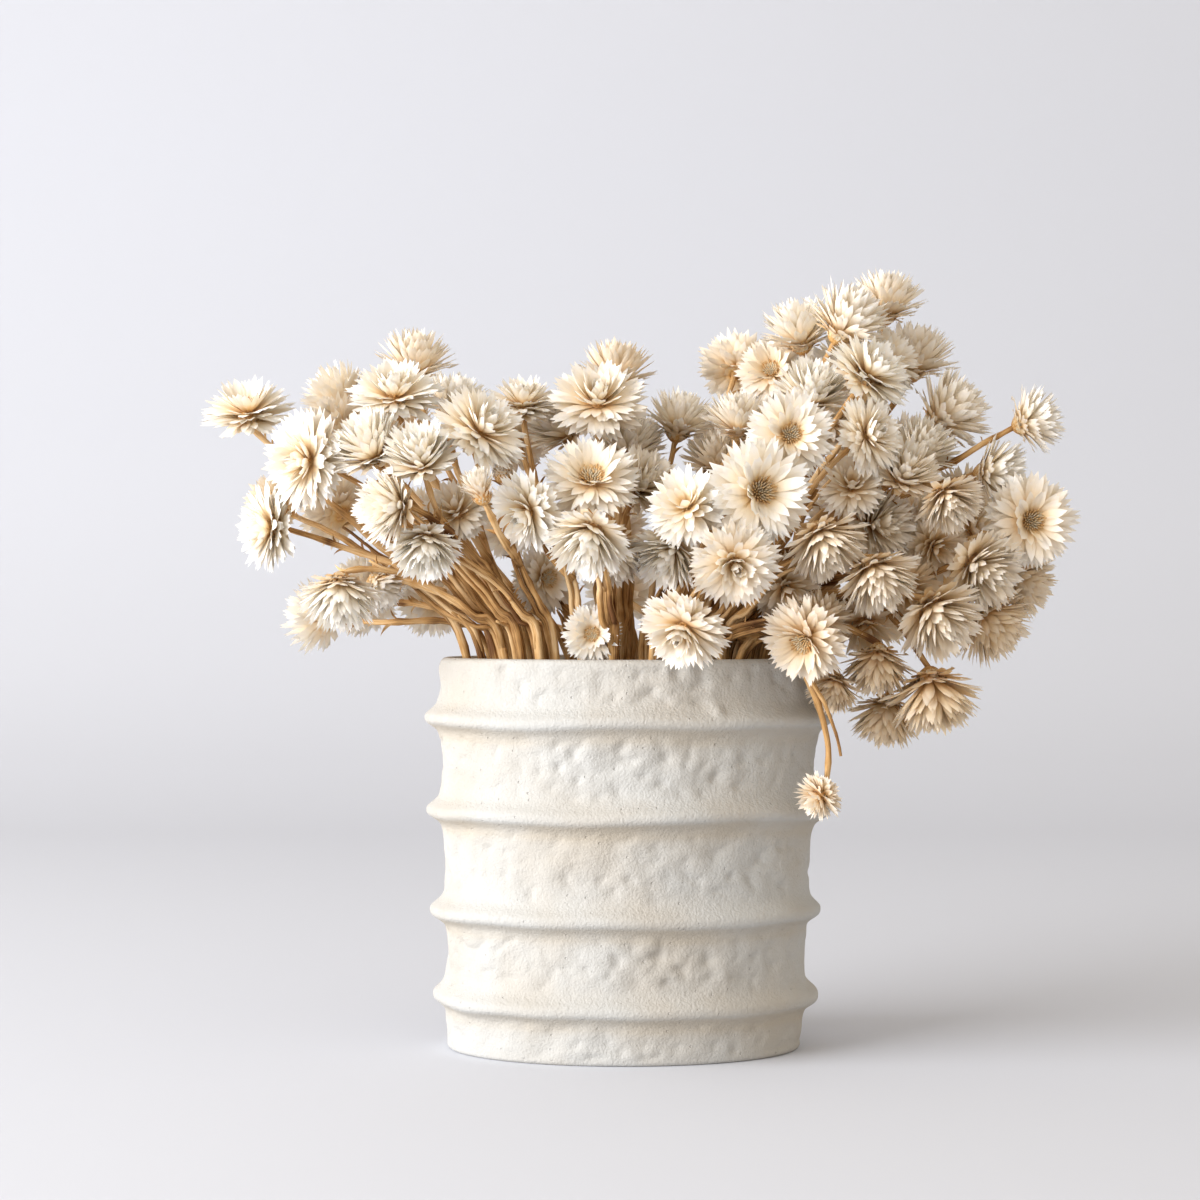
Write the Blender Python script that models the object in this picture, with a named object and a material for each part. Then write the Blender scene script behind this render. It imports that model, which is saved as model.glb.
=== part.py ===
"""A ribbed oval vase filled with dried cape flowers.

Units are metres in the scene and millimetres in the tables below. +Z is up, the
front of the vase looks along -Y, and the origin is the middle of its underside.
Every spray is one body: a woody stem that stands on the floor of the vase, its
side stalks and the papery heads that they carry.
"""
import bpy
import bmesh
import math
import numpy as np

MM = 0.001

# Vase
VASE_HEIGHT = 201.5
VASE_LEAN = 3.6
DEPTH_RATIO = 0.72
VASE_SIDES = 32
WALL = 6.0
FLOOR_TOP = 9.0
FOOT_LIFT = 1.5
LIP_RISE = 2.6
# height and half width of the plain wall, from the foot to the rim
BODY = ((0.0, 91.2), (27.0, 91.8), (71.7, 93.0), (123.3, 95.4), (170.4, 97.6), (201.5, 98.2))
# height of each rib and how far it stands out
RIBS = ((27.1, 7.9), (71.7, 8.4), (123.3, 8.8), (170.4, 8.3))
RIB_UP = 12.5
RIB_DOWN = 8.5
# how far along its slope, and how much of the rib is left there
RIB_SLOPE = ((1.0, 0.0), (0.42, 0.5))
# how far the foot turns in, and the steps of the rounded rim and the inner floor
FOOT_TURN = 3.0
RIM_STEP = (0.6, 0.9)
INNER_MIDDLE = 100.0
INNER_CORNER = ((8.0, 0.5), (0.0, 7.0))

# View that the head positions below were read in: a level camera in front
VIEW_X = -12.2
VIEW_Z = 231.0
VIEW_DISTANCE = 1420.0
VIEW_FOCUS = 2740.0
VIEW_MIDDLE = 600.0

# Kinds of head: polar angles of the petal layers from the head's own axis, the
# share of the full petal length in each layer, and how far it opens
KINDS = {
    "open": ((86.0, 58.0, 30.0), (1.0, 0.98, 0.82)),
    "ball": ((108.0, 72.0, 38.0), (0.92, 1.0, 0.96)),
    "cup": ((64.0, 42.0, 20.0), (1.0, 1.06, 1.04)),
    "bud": ((38.0, 24.0, 10.0), (1.0, 1.05, 1.05)),
    "seed": ((80.0, 50.0, 24.0), (0.5, 0.5, 0.5)),
}
# share of the full petal length from the end of the stem to the head's middle
BASE_DROPS = {"open": 0.34, "ball": 0.36, "cup": 0.55, "bud": 0.55, "seed": 0.4}
PETALS_ROUND = 8
CORE_SHARE = 0.34
PETAL_SCALE = 1.1
BUD_CORE_SHARE = 0.36
LEAST_SPREAD = 0.62
PETAL_ROOT = 0.8
# how unevenly the petals lean, in degrees, and how unevenly long they are
LEAN_UNEVEN = 5.0
LENGTH_UNEVEN = 0.06
UNEVEN_STEPS = (7.3, 3.1, 1.7, 11.0)

# Heads seen from the front: spray, across and down in the view, depth behind the
# vase's middle, facing (right, towards the viewer, up), width, kind
HEADS = (
    (1, 248, 412, -10, (-1, 4, 8), 42, "open"),
    (2, 395, 396, -30, (0, 5, 8), 43, "open"),
    (3, 415, 360, 32, (1, 1, 8), 38, "cup"),
    (4, 335, 397, 30, (-6, 0, 6), 37, "cup"),
    (5, 310, 460, -45, (-6, 6, 0), 46, "open"),
    (6, 365, 446, -52, (-4, 4, 7), 38, "cup"),
    (7, 420, 456, -70, (-1, 5, 6), 36, "cup"),
    (7, 390, 505, -72, (-8, 4, 0), 36, "cup"),
    (8, 270, 528, -22, (-7, 4, 0), 40, "open"),
    (9, 340, 597, -42, (0, 3, -9), 38, "cup"),
    (9, 382, 589, -8, (4, 0, -4), 26, "cup"),
    (10, 425, 548, -62, (0, 4, -6), 34, "cup"),
    (11, 480, 431, -62, (5, 5, 6), 44, "open"),
    (11, 480, 490, -84, (-2, 2, 6), 15, "bud"),
    (12, 523, 405, 5, (0, 3, 8), 36, "open"),
    (12, 560, 425, 25, (-5, 3, 6), 36, "cup"),
    (13, 600, 405, -5, (0, 6, 6), 46, "open"),
    (14, 616, 370, 50, (1, 0, 9), 38, "cup"),
    (15, 592, 480, -55, (0, 7, 5), 43, "open"),
    (16, 588, 540, -82, (-2, 5, -7), 38, "cup"),
    (16, 616, 556, -50, (2, 2, -7), 34, "cup"),
    (17, 528, 512, -62, (-5, 6, -4), 38, "open"),
    (17, 503, 475, -56, (0, 2, 8), 16, "seed"),
    (18, 632, 441, 8, (2, 2, 7), 37, "cup"),
    (19, 676, 420, 15, (2, 1, 8), 36, "cup"),
    (20, 689, 507, -74, (-2, 7, 3), 38, "ball"),
    (21, 668, 555, -58, (-3, 5, -6), 35, "cup"),
    (22, 683, 628, -94, (-3, 6, -6), 40, "open"),
    (23, 592, 634, -38, (0, 7, 0), 27, "open"),
    (23, 545, 578, -18, (4, 6, 0), 34, "open"),
    (24, 738, 420, -8, (0, 2, 8), 34, "cup"),
    (25, 772, 372, 32, (-2, 8, 3), 34, "open"),
    (26, 790, 435, -62, (1, 9, 1), 40, "open"),
    (25, 815, 390, -20, (1, 4, 7), 36, "cup"),
    (27, 867, 375, -34, (5, 4, 6), 42, "open"),
    (28, 803, 328, 4, (-2, 2, 9), 38, "cup"),
    (28, 844, 321, -4, (5, 2, 8), 42, "cup"),
    (29, 887, 302, 30, (1, 1, 9), 38, "cup"),
    (30, 910, 354, 22, (2, 1, 9), 41, "cup"),
    (31, 868, 438, -50, (6, 6, 2), 36, "open"),
    (32, 950, 412, 2, (7, 2, 5), 43, "cup"),
    (33, 1034, 420, -4, (8, 1, 3), 34, "cup"),
    (31, 905, 470, -40, (2, 5, 6), 34, "cup"),
    (34, 853, 486, -42, (0, 4, 3), 32, "ball"),
    (35, 757, 492, -78, (3, 8, 1), 48, "open"),
    (36, 734, 563, -88, (1, 7, -3), 40, "open"),
    (37, 805, 640, -78, (-4, 6, -4), 40, "open"),
    (37, 821, 616, -50, (3, 2, 6), 30, "ball"),
    (38, 828, 545, -72, (3, 4, -7), 38, "cup"),
    (39, 876, 578, -68, (3, 4, -8), 38, "cup"),
    (40, 950, 502, -46, (3, 4, -6), 32, "cup"),
    (33, 998, 474, -12, (7, 2, 0), 36, "cup"),
    (41, 1029, 521, -28, (2, 9, 0), 44, "open"),
    (42, 936, 548, -22, (2, 4, -2), 35, "ball"),
    (42, 981, 569, -30, (4, 5, -3), 40, "cup"),
    (43, 1022, 584, 0, (7, 3, -4), 36, "cup"),
    (44, 938, 618, -50, (4, 5, -6), 42, "cup"),
    (43, 992, 624, -14, (6, 3, -6), 40, "cup"),
    (45, 933, 696, -36, (1, 3, -9), 44, "cup"),
    (45, 885, 717, -7, (-2, 2, -9), 36, "cup"),
    (46, 836, 688, -40, (-2, 3, -6), 26, "cup"),
    (47, 819, 797, -64, (-6, 3, -5), 24, "ball"),
    (44, 866, 627, -32, (1, 3, -5), 33, "ball"),
    (46, 870, 664, -34, (-1, 2, -8), 34, "cup"),
    (27, 832, 422, 8, (1, 3, 6), 34, "ball"),
    (32, 924, 446, -8, (3, 3, 5), 34, "cup"),
    (36, 786, 588, -40, (1, 5, -3), 34, "ball"),
    (39, 908, 588, -26, (3, 4, -3), 34, "ball"),
    (34, 880, 524, -30, (3, 4, 0), 34, "cup"),
    (41, 972, 530, 6, (5, 3, 1), 34, "ball"),
    (3, 455, 402, 12, (3, 1, 8), 35, "cup"),
    (18, 644, 482, -22, (3, 4, 3), 34, "cup"),
    (10, 456, 512, -48, (-2, 4, 4), 33, "ball"),
    (20, 716, 456, 4, (-1, 3, 7), 32, "cup"),
)
# Heads on the far side, in rows: height, half width, depth, first and last angle
# round the vase, heads in the row, first spray
BACK_ROWS = (
    (228.0, 168.0, 106.0, 14.0, 166.0, 9, 48),
    (276.0, 186.0, 98.0, 12.0, 168.0, 9, 51),
    (317.0, 160.0, 62.0, 20.0, 160.0, 7, 54),
    (352.0, 150.0, 62.0, 22.0, 66.0, 4, 57),
)
BACK_PER_SPRAY = 3
BACK_WIDTHS = (35.0, 41.0)
BACK_STRAY = (0.05, 8.0)
BACK_TILT = (190.0, 150.0, 0.25)
# Turning points of a few stems: spray, then places across, down and deep
BENDS = {
    24: ((699, 462, -30), (708, 447, -24)),
    33: ((929, 476, -30), (975, 449, -14)),
    47: ((829, 664, -52), (839, 700, -60), (850, 752, -62)),
}

# Stems
STEM_RADIUS = 2.5
STALK_RADIUS = 2.1
STEM_SIDES = 3
MOUTH_HEIGHT = 206.5
GAP = 0.3
CLEARANCE = 0.9
SEED = 41
INSIDE_POINTS = 2
OUTSIDE_POINTS = 5
LOW_JOIN = 1
HIGH_JOIN = 4
HIGH_JOIN_SPAN = 56.0
FOOT_SHARE = 0.62
BOUQUET_HALF = (215.0, 118.0)
STEM_ROUNDS = 90
STEM_SMOOTH = 0.12
STEM_HOME = 0.03
STEM_CALM = 0.7
STEM_STEP = 3.0
STEM_TAPER = 0.2
NEAR_EVERY = 10
NEAR_MARGIN = 12.0
CORE_KEEP = 0.3
CORE_PUSH = 0.6
MOUTH_ROOM = 1.5
MOUTH_KEEP = 1.2
# nearest a stem comes to the middle of the mouth, and how fast it nears the rim
MOUTH_SPREAD = (0.12, 0.85)
# how a stem leaves the mouth and how it arrives at its head
LEAVE_TURN = 0.35
LEAVE_SHARE = 0.4
ARRIVE = (34.0, 0.42)
CURVE_STEPS = 40

# Room kept between the pieces
HEAD_SPACING = 0.84
HEAD_EASE = (0.45, 1.0, 0.35)
HEAD_HOME = 0.02
HEAD_ROUNDS = 140
HEAD_PUSH = 0.45
HEAD_LOW = 0.3
HEAD_ROOM = 0.42
RIB_ROOM = 9.5
RIM_ROOM = 1.5
RIB_TOP = 184.0
INSIDE_SHARE = 0.8
ROOT_RADIUS = 1.0
RING_POLARS = (118.0, 86.0, 56.0, 28.0)
PETAL_ROOM = 4.0
CORE_ROOM = 1.6
PETAL_TAPER = 1.1
PETAL_LEAST = 2.5
PETAL_ROUNDS = 8
PETAL_NEAR = 30.0
STEM_NEAR = 18.0
PETAL_BACK = 1.0
STEM_BACK = 1.5
CORE_BACK = 0.6
FAR = 99.0
WALL_ROUNDS = 12
WALL_CUT = 0.88


def unit(vectors):
    """Vectors scaled to length one."""
    size = np.linalg.norm(vectors, axis=-1, keepdims=True)
    return vectors / np.maximum(size, 1e-9)


def from_view(across, down, depth):
    """Place in millimetres of a point read in the front view."""
    reach = (VIEW_DISTANCE + depth) / VIEW_FOCUS
    x = VIEW_X + (across - VIEW_MIDDLE) * reach
    z = VIEW_Z - (down - VIEW_MIDDLE) * reach
    return np.array((x, depth, z))


def list_heads():
    """Every head: spray, middle, facing, width and kind; the far side follows."""
    heads = []
    for spray, across, down, depth, facing, width, kind in HEADS:
        axis = unit(np.array((facing[0], -facing[1], facing[2]), dtype=float))
        heads.append((spray, from_view(across, down, depth), axis, float(width), kind))
    chance = np.random.default_rng(SEED)
    for height, reach, depth, first, last, count, spray in BACK_ROWS:
        for index in range(count):
            share = index / max(1, count - 1)
            angle = math.radians(first + (last - first) * share)
            angle += chance.uniform(-BACK_STRAY[0], BACK_STRAY[0])
            x = reach * math.cos(angle)
            y = depth * math.sin(angle)
            z = height + chance.uniform(-BACK_STRAY[1], BACK_STRAY[1])
            up = (height - BACK_TILT[0]) / BACK_TILT[1]
            axis = unit(np.array((math.cos(angle), math.sin(angle) + BACK_TILT[2], up)))
            kind = ("open", "cup", "ball")[int(chance.integers(0, 3))]
            width = chance.uniform(*BACK_WIDTHS)
            group = spray + index // BACK_PER_SPRAY
            heads.append((group, np.array((x, y, z)), axis, width, kind))
    return heads


def wall_reach(height, extra):
    """Half width and half depth of the wall at a height, moved out by extra."""
    levels = [level for level, _ in BODY]
    widths = [width for _, width in BODY]
    half = float(np.interp(height, levels, widths))
    return half + extra, half * DEPTH_RATIO + extra


def spread_heads(heads):
    """Move the middles of the heads apart, mostly in depth, and off the vase."""
    middles = np.array([middle for _, middle, _, _, _ in heads])
    sizes = np.array([width for _, _, _, width, _ in heads])
    home = middles.copy()
    pairs = np.triu_indices(len(heads), 1)
    need = HEAD_SPACING * (sizes[pairs[0]] + sizes[pairs[1]]) / 2.0
    ease = np.array(HEAD_EASE)
    for _ in range(HEAD_ROUNDS):
        gap = middles[pairs[0]] - middles[pairs[1]]
        gap[:, 1] += 1e-3
        size = np.linalg.norm(gap, axis=1)
        short = np.maximum(0.0, need - size)
        push = unit(gap * ease) * (short * HEAD_PUSH)[:, None] * ease
        np.add.at(middles, pairs[0], push)
        np.add.at(middles, pairs[1], -push)
        middles += (home - middles) * HEAD_HOME
        for index, middle in enumerate(middles):
            if middle[2] < MOUTH_HEIGHT + HEAD_LOW * sizes[index]:
                keep_off_vase(middle, home[index], HEAD_ROOM * sizes[index])
    return middles


def keep_off_vase(point, home, room):
    """Slide a point that is beside or over the vase's wall clear of it."""
    wide, deep = wall_reach(point[2], RIB_ROOM)
    if (home[0] / wide) ** 2 + (home[1] / deep) ** 2 < INSIDE_SHARE:
        return
    wide += room
    deep += room
    off = (point[0] / wide) ** 2 + (point[1] / deep) ** 2
    if off < 1.0:
        point[0] /= math.sqrt(off)
        point[1] /= math.sqrt(off)


def first_paths(heads, bases):
    """Starting course of each head's stem, from its foot, and the heads of each spray."""
    paths = []
    seen = {}
    for index, (spray, _, axis, _, _) in enumerate(heads):
        base = bases[index]
        order = seen.setdefault(spray, [])
        bends = [] if order else [from_view(*bend) for bend in BENDS.get(spray, ())]
        order.append(index)
        aim = bends[0] if bends else base
        foot, mouth = lower_ends(aim)
        steps = range(INSIDE_POINTS + 1)
        lower = [foot + (mouth - foot) * step / INSIDE_POINTS for step in steps]
        reach = np.linalg.norm(aim - mouth)
        leave = unit(unit(mouth - foot) + LEAVE_TURN * unit(aim - mouth))
        arrive = axis * min(ARRIVE[0], ARRIVE[1] * reach)
        corners = [mouth, mouth + leave * LEAVE_SHARE * reach] + bends + [base - arrive, base]
        paths.append(np.array(lower + sample_curve(corners, OUTSIDE_POINTS)[1:]))
    return np.array(paths), seen


def lower_ends(aim):
    """Foot of a stem and where it passes the vase's mouth, from where it aims."""
    wide, deep = wall_reach(VASE_HEIGHT, -WALL - STEM_RADIUS - MOUTH_ROOM)
    level = np.hypot(aim[0] / BOUQUET_HALF[0], aim[1] / BOUQUET_HALF[1])
    share = min(1.0, max(MOUTH_SPREAD[0], level) ** MOUTH_SPREAD[1])
    turn = math.atan2(aim[1] / BOUQUET_HALF[1], aim[0] / BOUQUET_HALF[0])
    mouth = np.array((wide * share * math.cos(turn), deep * share * math.sin(turn), 0.0))
    foot = mouth * FOOT_SHARE
    foot[2] = FLOOR_TOP + GAP
    mouth[2] = MOUTH_HEIGHT
    return foot, mouth


def sample_curve(corners, count):
    """Points at even steps on the smooth curve that the corners pull."""
    line = []
    for step in range(CURVE_STEPS + 1):
        share = step / CURVE_STEPS
        pull = np.array(corners)
        while len(pull) > 1:
            pull = pull[:-1] + (pull[1:] - pull[:-1]) * share
        line.append(pull[0])
    line = np.array(line)
    run = np.concatenate(((0.0,), np.cumsum(np.linalg.norm(np.diff(line, axis=0), axis=1))))
    at = np.linspace(0.0, run[-1], count + 1)
    return [np.array([np.interp(value, run, line[:, axis]) for axis in range(3)]) for value in at]


def nearest(start, end, other_start, other_end):
    """Where two sets of straight pieces come nearest, and the gap there."""
    run = end - start
    other = other_end - other_start
    gap = start - other_start
    a = np.maximum((run * run).sum(-1), 1e-9)
    e = np.maximum((other * other).sum(-1), 1e-9)
    b = (run * other).sum(-1)
    c = (run * gap).sum(-1)
    f = (other * gap).sum(-1)
    span = a * e - b * b
    s = np.where(span > 1e-6, (b * f - c * e) / np.where(span > 1e-6, span, 1.0), 0.5)
    s = np.clip(s, 0.0, 1.0)
    t = np.clip((b * s + f) / e, 0.0, 1.0)
    s = np.clip((b * t - c) / a, 0.0, 1.0)
    between = (start + run * s[..., None]) - (other_start + other * t[..., None])
    return s, t, between


def part_stems(paths, heads, middles, joins):
    """Push the stems apart, off the heads and inside the mouth of the vase."""
    count, points, _ = paths.shape
    home = paths.copy()
    sprays = np.array([head[0] for head in heads])
    rooms = np.array([CORE_KEEP * head[3] + STEM_RADIUS for head in heads])
    owner = np.repeat(np.arange(count), points - 1)
    piece = np.tile(np.arange(points - 1), count)
    left, right = np.triu_indices(len(owner), 1)
    apart = sprays[owner[left]] != sprays[owner[right]]
    start_at = np.array([joins[index][1] if joins[index] else 0 for index in range(count)])
    real = (piece[left] >= start_at[owner[left]]) & (piece[right] >= start_at[owner[right]])
    left, right = left[apart & real], right[apart & real]
    for turn in range(STEM_ROUNDS):
        if turn % NEAR_EVERY == 0:
            start, end = paths[owner, piece], paths[owner, piece + 1]
            close = np.linalg.norm((start + end)[left] / 2 - (start + end)[right] / 2, axis=1)
            length = np.linalg.norm(end - start, axis=1)
            near = close < (length[left] + length[right]) / 2 + NEAR_MARGIN
            one, two = left[near], right[near]
        shift = stem_push(paths, owner, piece, one, two) + head_push(paths, middles, rooms)
        calm = max(0.0, 1.0 - turn / (STEM_CALM * STEM_ROUNDS))
        shift[:, -1] = 0.0
        shift[:, 0, 2] = 0.0
        paths = paths + np.clip(shift, -STEM_STEP, STEM_STEP)
        middle = (paths[:, :-2] + paths[:, 2:]) / 2.0
        paths[:, 1:-1] += (middle - paths[:, 1:-1]) * STEM_SMOOTH * calm
        paths[:, 1:-1] += (home[:, 1:-1] - paths[:, 1:-1]) * STEM_HOME * calm
        paths[:, 0, 2] = FLOOR_TOP + GAP
        paths[:, INSIDE_POINTS, 2] = MOUTH_HEIGHT
        keep_in_mouth(paths)
        for index, join in enumerate(joins):
            if join:
                parent, node = join
                paths[index, : node + 1] = paths[parent, : node + 1]
    return paths


def stem_push(paths, owner, piece, one, two):
    """Shift that parts the straight pieces of stem that run too close."""
    start, end = paths[owner, piece], paths[owner, piece + 1]
    s, t, between = nearest(start[one], end[one], start[two], end[two])
    size = np.linalg.norm(between, axis=1)
    side = np.cross((end - start)[one], (end - start)[two])
    way = np.where((size > 0.05)[:, None], between, side)
    lack = np.maximum(0.0, 2.0 * STEM_RADIUS + CLEARANCE - size)
    push = unit(way) * (lack * 0.5)[:, None]
    shift = np.zeros_like(paths)
    for who, where, sign in ((one, s, 1.0), (two, t, -1.0)):
        np.add.at(shift, (owner[who], piece[who]), push * (sign * (1.0 - where))[:, None])
        np.add.at(shift, (owner[who], piece[who] + 1), push * (sign * where)[:, None])
    return shift


def head_push(paths, middles, rooms):
    """Shift that keeps every stem off the middles of the other heads."""
    shift = np.zeros_like(paths)
    start, end = paths[:, :-1], paths[:, 1:]
    run = end - start
    span = np.maximum((run * run).sum(-1), 1e-6)
    for index, middle in enumerate(middles):
        share = ((middle - start) * run).sum(-1) / span
        share = np.clip(share, 0.0, 1.0)[:, :, None]
        toward = start + run * share - middle
        lack = np.maximum(0.0, rooms[index] - np.linalg.norm(toward, axis=2))
        lack[index] = 0.0
        push = unit(toward) * (lack * CORE_PUSH)[:, :, None]
        shift[:, :-1] += push * (1.0 - share)
        shift[:, 1:] += push * share
    return shift


def keep_in_mouth(paths):
    """Hold the lower points of the stems inside the vase, the others off it."""
    for level in range(INSIDE_POINTS + 1):
        height = min(VASE_HEIGHT, float(paths[:, level, 2].mean()))
        wide, deep = wall_reach(height, -WALL - STEM_RADIUS - MOUTH_KEEP)
        lean = VASE_LEAN * height / VASE_HEIGHT
        x = paths[:, level, 0] - lean
        y = paths[:, level, 1]
        over = np.sqrt((x / wide) ** 2 + (y / deep) ** 2)
        scale = 1.0 / np.maximum(1.0, over)
        paths[:, level, 0] = lean + x * scale
        paths[:, level, 1] = y * scale
    for path in paths:
        for point in path[INSIDE_POINTS + 1:]:
            if point[2] < MOUTH_HEIGHT + 1.0:
                keep_off_vase(point, point + 1000.0, STEM_RADIUS)


def lay_petals(heads, middles, bases):
    """Root, tip and layer of every petal, head by head."""
    petals = []
    for index, (_, _, axis, width, kind) in enumerate(heads):
        frame = frame_of(axis)
        angles, shares = KINDS[kind]
        full = petal_length(width, kind)
        core = core_size(width, kind)
        middle = bases[index] + axis * core
        for layer, (polar, share) in enumerate(zip(angles, shares)):
            for number in range(PETALS_ROUND):
                turn = 2.0 * math.pi * (number + 0.5 * (layer % 2) + 0.5) / PETALS_ROUND
                uneven = math.sin(UNEVEN_STEPS[0] * number + UNEVEN_STEPS[1] * layer
                                  + UNEVEN_STEPS[2] * index)
                lean = math.radians(polar + LEAN_UNEVEN * uneven)
                way = axis * math.cos(lean)
                way = way + frame[0] * math.sin(lean) * math.cos(turn)
                way = way + frame[1] * math.sin(lean) * math.sin(turn)
                uneven = math.cos(UNEVEN_STEPS[3] * number + index)
                length = full * share * (1.0 + LENGTH_UNEVEN * uneven)
                petals.append((index, middle + way * core * PETAL_ROOT, middle + way * length))
    owner = np.array([petal[0] for petal in petals])
    roots = np.array([petal[1] for petal in petals])
    tips = np.array([petal[2] for petal in petals])
    return owner, roots, tips


def frame_of(axis):
    """Two directions square to an axis and to each other."""
    side = np.cross(axis, (0.0, 0.0, 1.0) if abs(axis[2]) < 0.9 else (0.0, 1.0, 0.0))
    side = unit(side)
    return side, np.cross(axis, side)


def base_drop(width, kind):
    """How far the middle of a head stands off the point where its stem ends."""
    return BASE_DROPS[kind] * petal_length(width, kind)


def core_size(width, kind):
    """Radius of the small core that the petals of a head grow from."""
    if kind in ("bud", "seed"):
        return BUD_CORE_SHARE * width
    return CORE_SHARE * width / 2.0


def petal_length(width, kind):
    """Length of a full petal from the middle of the core."""
    polar = min(90.0, KINDS[kind][0][0])
    return PETAL_SCALE * width / 2.0 / max(LEAST_SPREAD, math.sin(math.radians(polar)))


def clear_petals(owner, roots, tips, paths, hubs, cores):
    """Tips of the petals, drawn back where they would cross something else."""
    count, points, _ = paths.shape
    stem_owner = np.repeat(np.arange(count), points - 1)
    low = paths[:, :-1].reshape(-1, 3)
    high = paths[:, 1:].reshape(-1, 3)
    middle = (roots + tips) / 2.0
    left, right = np.triu_indices(len(owner), 1)
    near = owner[left] != owner[right]
    left, right = left[near], right[near]
    close = np.linalg.norm(middle[left] - middle[right], axis=1) < PETAL_NEAR
    left, right = left[close], right[close]
    stem_middle = (low + high) / 2.0
    reach = np.linalg.norm(high - low, axis=1) / 2.0 + STEM_NEAR
    span = np.linalg.norm(middle[:, None] - stem_middle[None], axis=2)
    petal, stem = np.nonzero(span < reach[None])
    other = owner[petal] != stem_owner[stem]
    petal, stem = petal[other], stem[other]
    length = np.linalg.norm(tips - roots, axis=1)
    way = unit(tips - roots)
    for _ in range(PETAL_ROUNDS):
        ends = roots + way * length[:, None]
        clear_of_petals(roots, ends, length, left, right)
        clear_of_stems(roots, ends, length, petal, low[stem], high[stem])
        length = np.minimum(length, reach_to_cores(owner, roots, way, length, hubs, cores))
        length = np.maximum(length, PETAL_LEAST)
    for index, root in enumerate(roots):
        length[index] = clear_of_wall(root, way[index], length[index])
    return roots + way * length[:, None]


def clear_of_petals(roots, ends, length, left, right):
    """Shorten the one of two petals of different heads that loses less by it."""
    s, t, between = nearest(roots[left], ends[left], roots[right], ends[right])
    bad = np.linalg.norm(between, axis=1) < PETAL_ROOM - PETAL_TAPER * (s + t)
    lose_left = (1.0 - s) * length[left] + PETAL_BACK
    lose_right = (1.0 - t) * length[right] + PETAL_BACK
    shorter = lose_left < lose_right
    cut = np.where(shorter, left, right)[bad]
    keep = np.where(shorter, length[left] - lose_left, length[right] - lose_right)
    np.minimum.at(length, cut, keep[bad])


def clear_of_stems(roots, ends, length, petal, low, high):
    """Shorten the petals that come too near the straight pieces of other stems."""
    s, _, between = nearest(roots[petal], ends[petal], low, high)
    size = np.linalg.norm(between, axis=1)
    bad = size < STEM_RADIUS + PETAL_ROOM / 2.0 - PETAL_TAPER * s
    keep = s * length[petal] - STEM_BACK
    np.minimum.at(length, petal[bad], keep[bad])


def reach_to_cores(owner, roots, way, length, hubs, cores):
    """How long each petal can be before it comes to another head's core."""
    along = ((hubs[None] - roots[:, None]) * way[:, None]).sum(-1)
    along = np.clip(along, 0.0, length[:, None])
    spot = roots[:, None] + way[:, None] * along[:, :, None]
    size = np.linalg.norm(spot - hubs[None], axis=2) - cores[None]
    size[np.arange(len(owner)), owner] = FAR
    return np.where(size < CORE_ROOM, along - cores[None] * CORE_BACK, FAR).min(axis=1)


def clear_of_wall(root, way, length):
    """Length of a petal, cut back step by step until its tip is off the vase."""
    for _ in range(WALL_ROUNDS):
        end = root + way * length
        if end[2] > VASE_HEIGHT + 1.0 or length <= PETAL_LEAST:
            break
        wide, deep = wall_reach(end[2], RIB_ROOM if end[2] < RIB_TOP else RIM_ROOM)
        if (end[0] / wide) ** 2 + (end[1] / deep) ** 2 > 1.0:
            break
        length *= WALL_CUT
    return length


def plan_joins(heads, bases, seen):
    """Which stem each side stalk leaves, and at which of its points."""
    joins = [None] * len(heads)
    for order in seen.values():
        for index in order[1:]:
            apart = np.linalg.norm(bases[index] - bases[order[0]])
            node = HIGH_JOIN if apart < HIGH_JOIN_SPAN else LOW_JOIN
            joins[index] = (order[0], node)
    return joins


# Meshes of the pieces


def make_material(name, colour, roughness):
    """Plain principled material in one colour."""
    material = bpy.data.materials.new(name)
    material.use_nodes = True
    shader = material.node_tree.nodes["Principled BSDF"]
    shader.inputs["Base Color"].default_value = (*colour, 1.0)
    shader.inputs["Roughness"].default_value = roughness
    return material


def mesh_object(name, bm, materials):
    """Scene object holding a bmesh given in millimetres."""
    bmesh.ops.recalc_face_normals(bm, faces=bm.faces)
    for vert in bm.verts:
        vert.co *= MM
    mesh = bpy.data.meshes.new(name)
    bm.to_mesh(mesh)
    bm.free()
    for material in materials:
        mesh.materials.append(material)
    thing = bpy.data.objects.new(name, mesh)
    bpy.context.scene.collection.objects.link(thing)
    return thing


def band(bm, lower, upper):
    """Faces between two rings with the same number of corners."""
    count = len(lower)
    for index in range(count):
        after = (index + 1) % count
        bm.faces.new((lower[index], lower[after], upper[after], upper[index]))


def vase_profile():
    """Height and width of the outer wall, foot to rim, with the ribs on it."""
    levels = [level for level, _ in BODY]
    widths = [width for _, width in BODY]
    rows = [(0.0, -FOOT_TURN), (FOOT_LIFT, 0.0)]
    for height, rise in RIBS:
        for along, left in RIB_SLOPE:
            rows.append((height - along * RIB_DOWN, rise * left))
        rows.append((height, rise))
        for along, left in reversed(RIB_SLOPE):
            rows.append((height + along * RIB_UP, rise * left))
    down, back = RIM_STEP
    rows += [(VASE_HEIGHT - LIP_RISE, 0.0), (VASE_HEIGHT - down, -back), (VASE_HEIGHT, -WALL / 2)]
    rows += [(VASE_HEIGHT - down, back - WALL), (VASE_HEIGHT - LIP_RISE, -WALL)]
    rows.append((INNER_MIDDLE, -WALL))
    rows += [(FLOOR_TOP + up, -WALL - inward) for up, inward in INNER_CORNER]
    return [(height, float(np.interp(height, levels, widths)), extra) for height, extra in rows]


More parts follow.
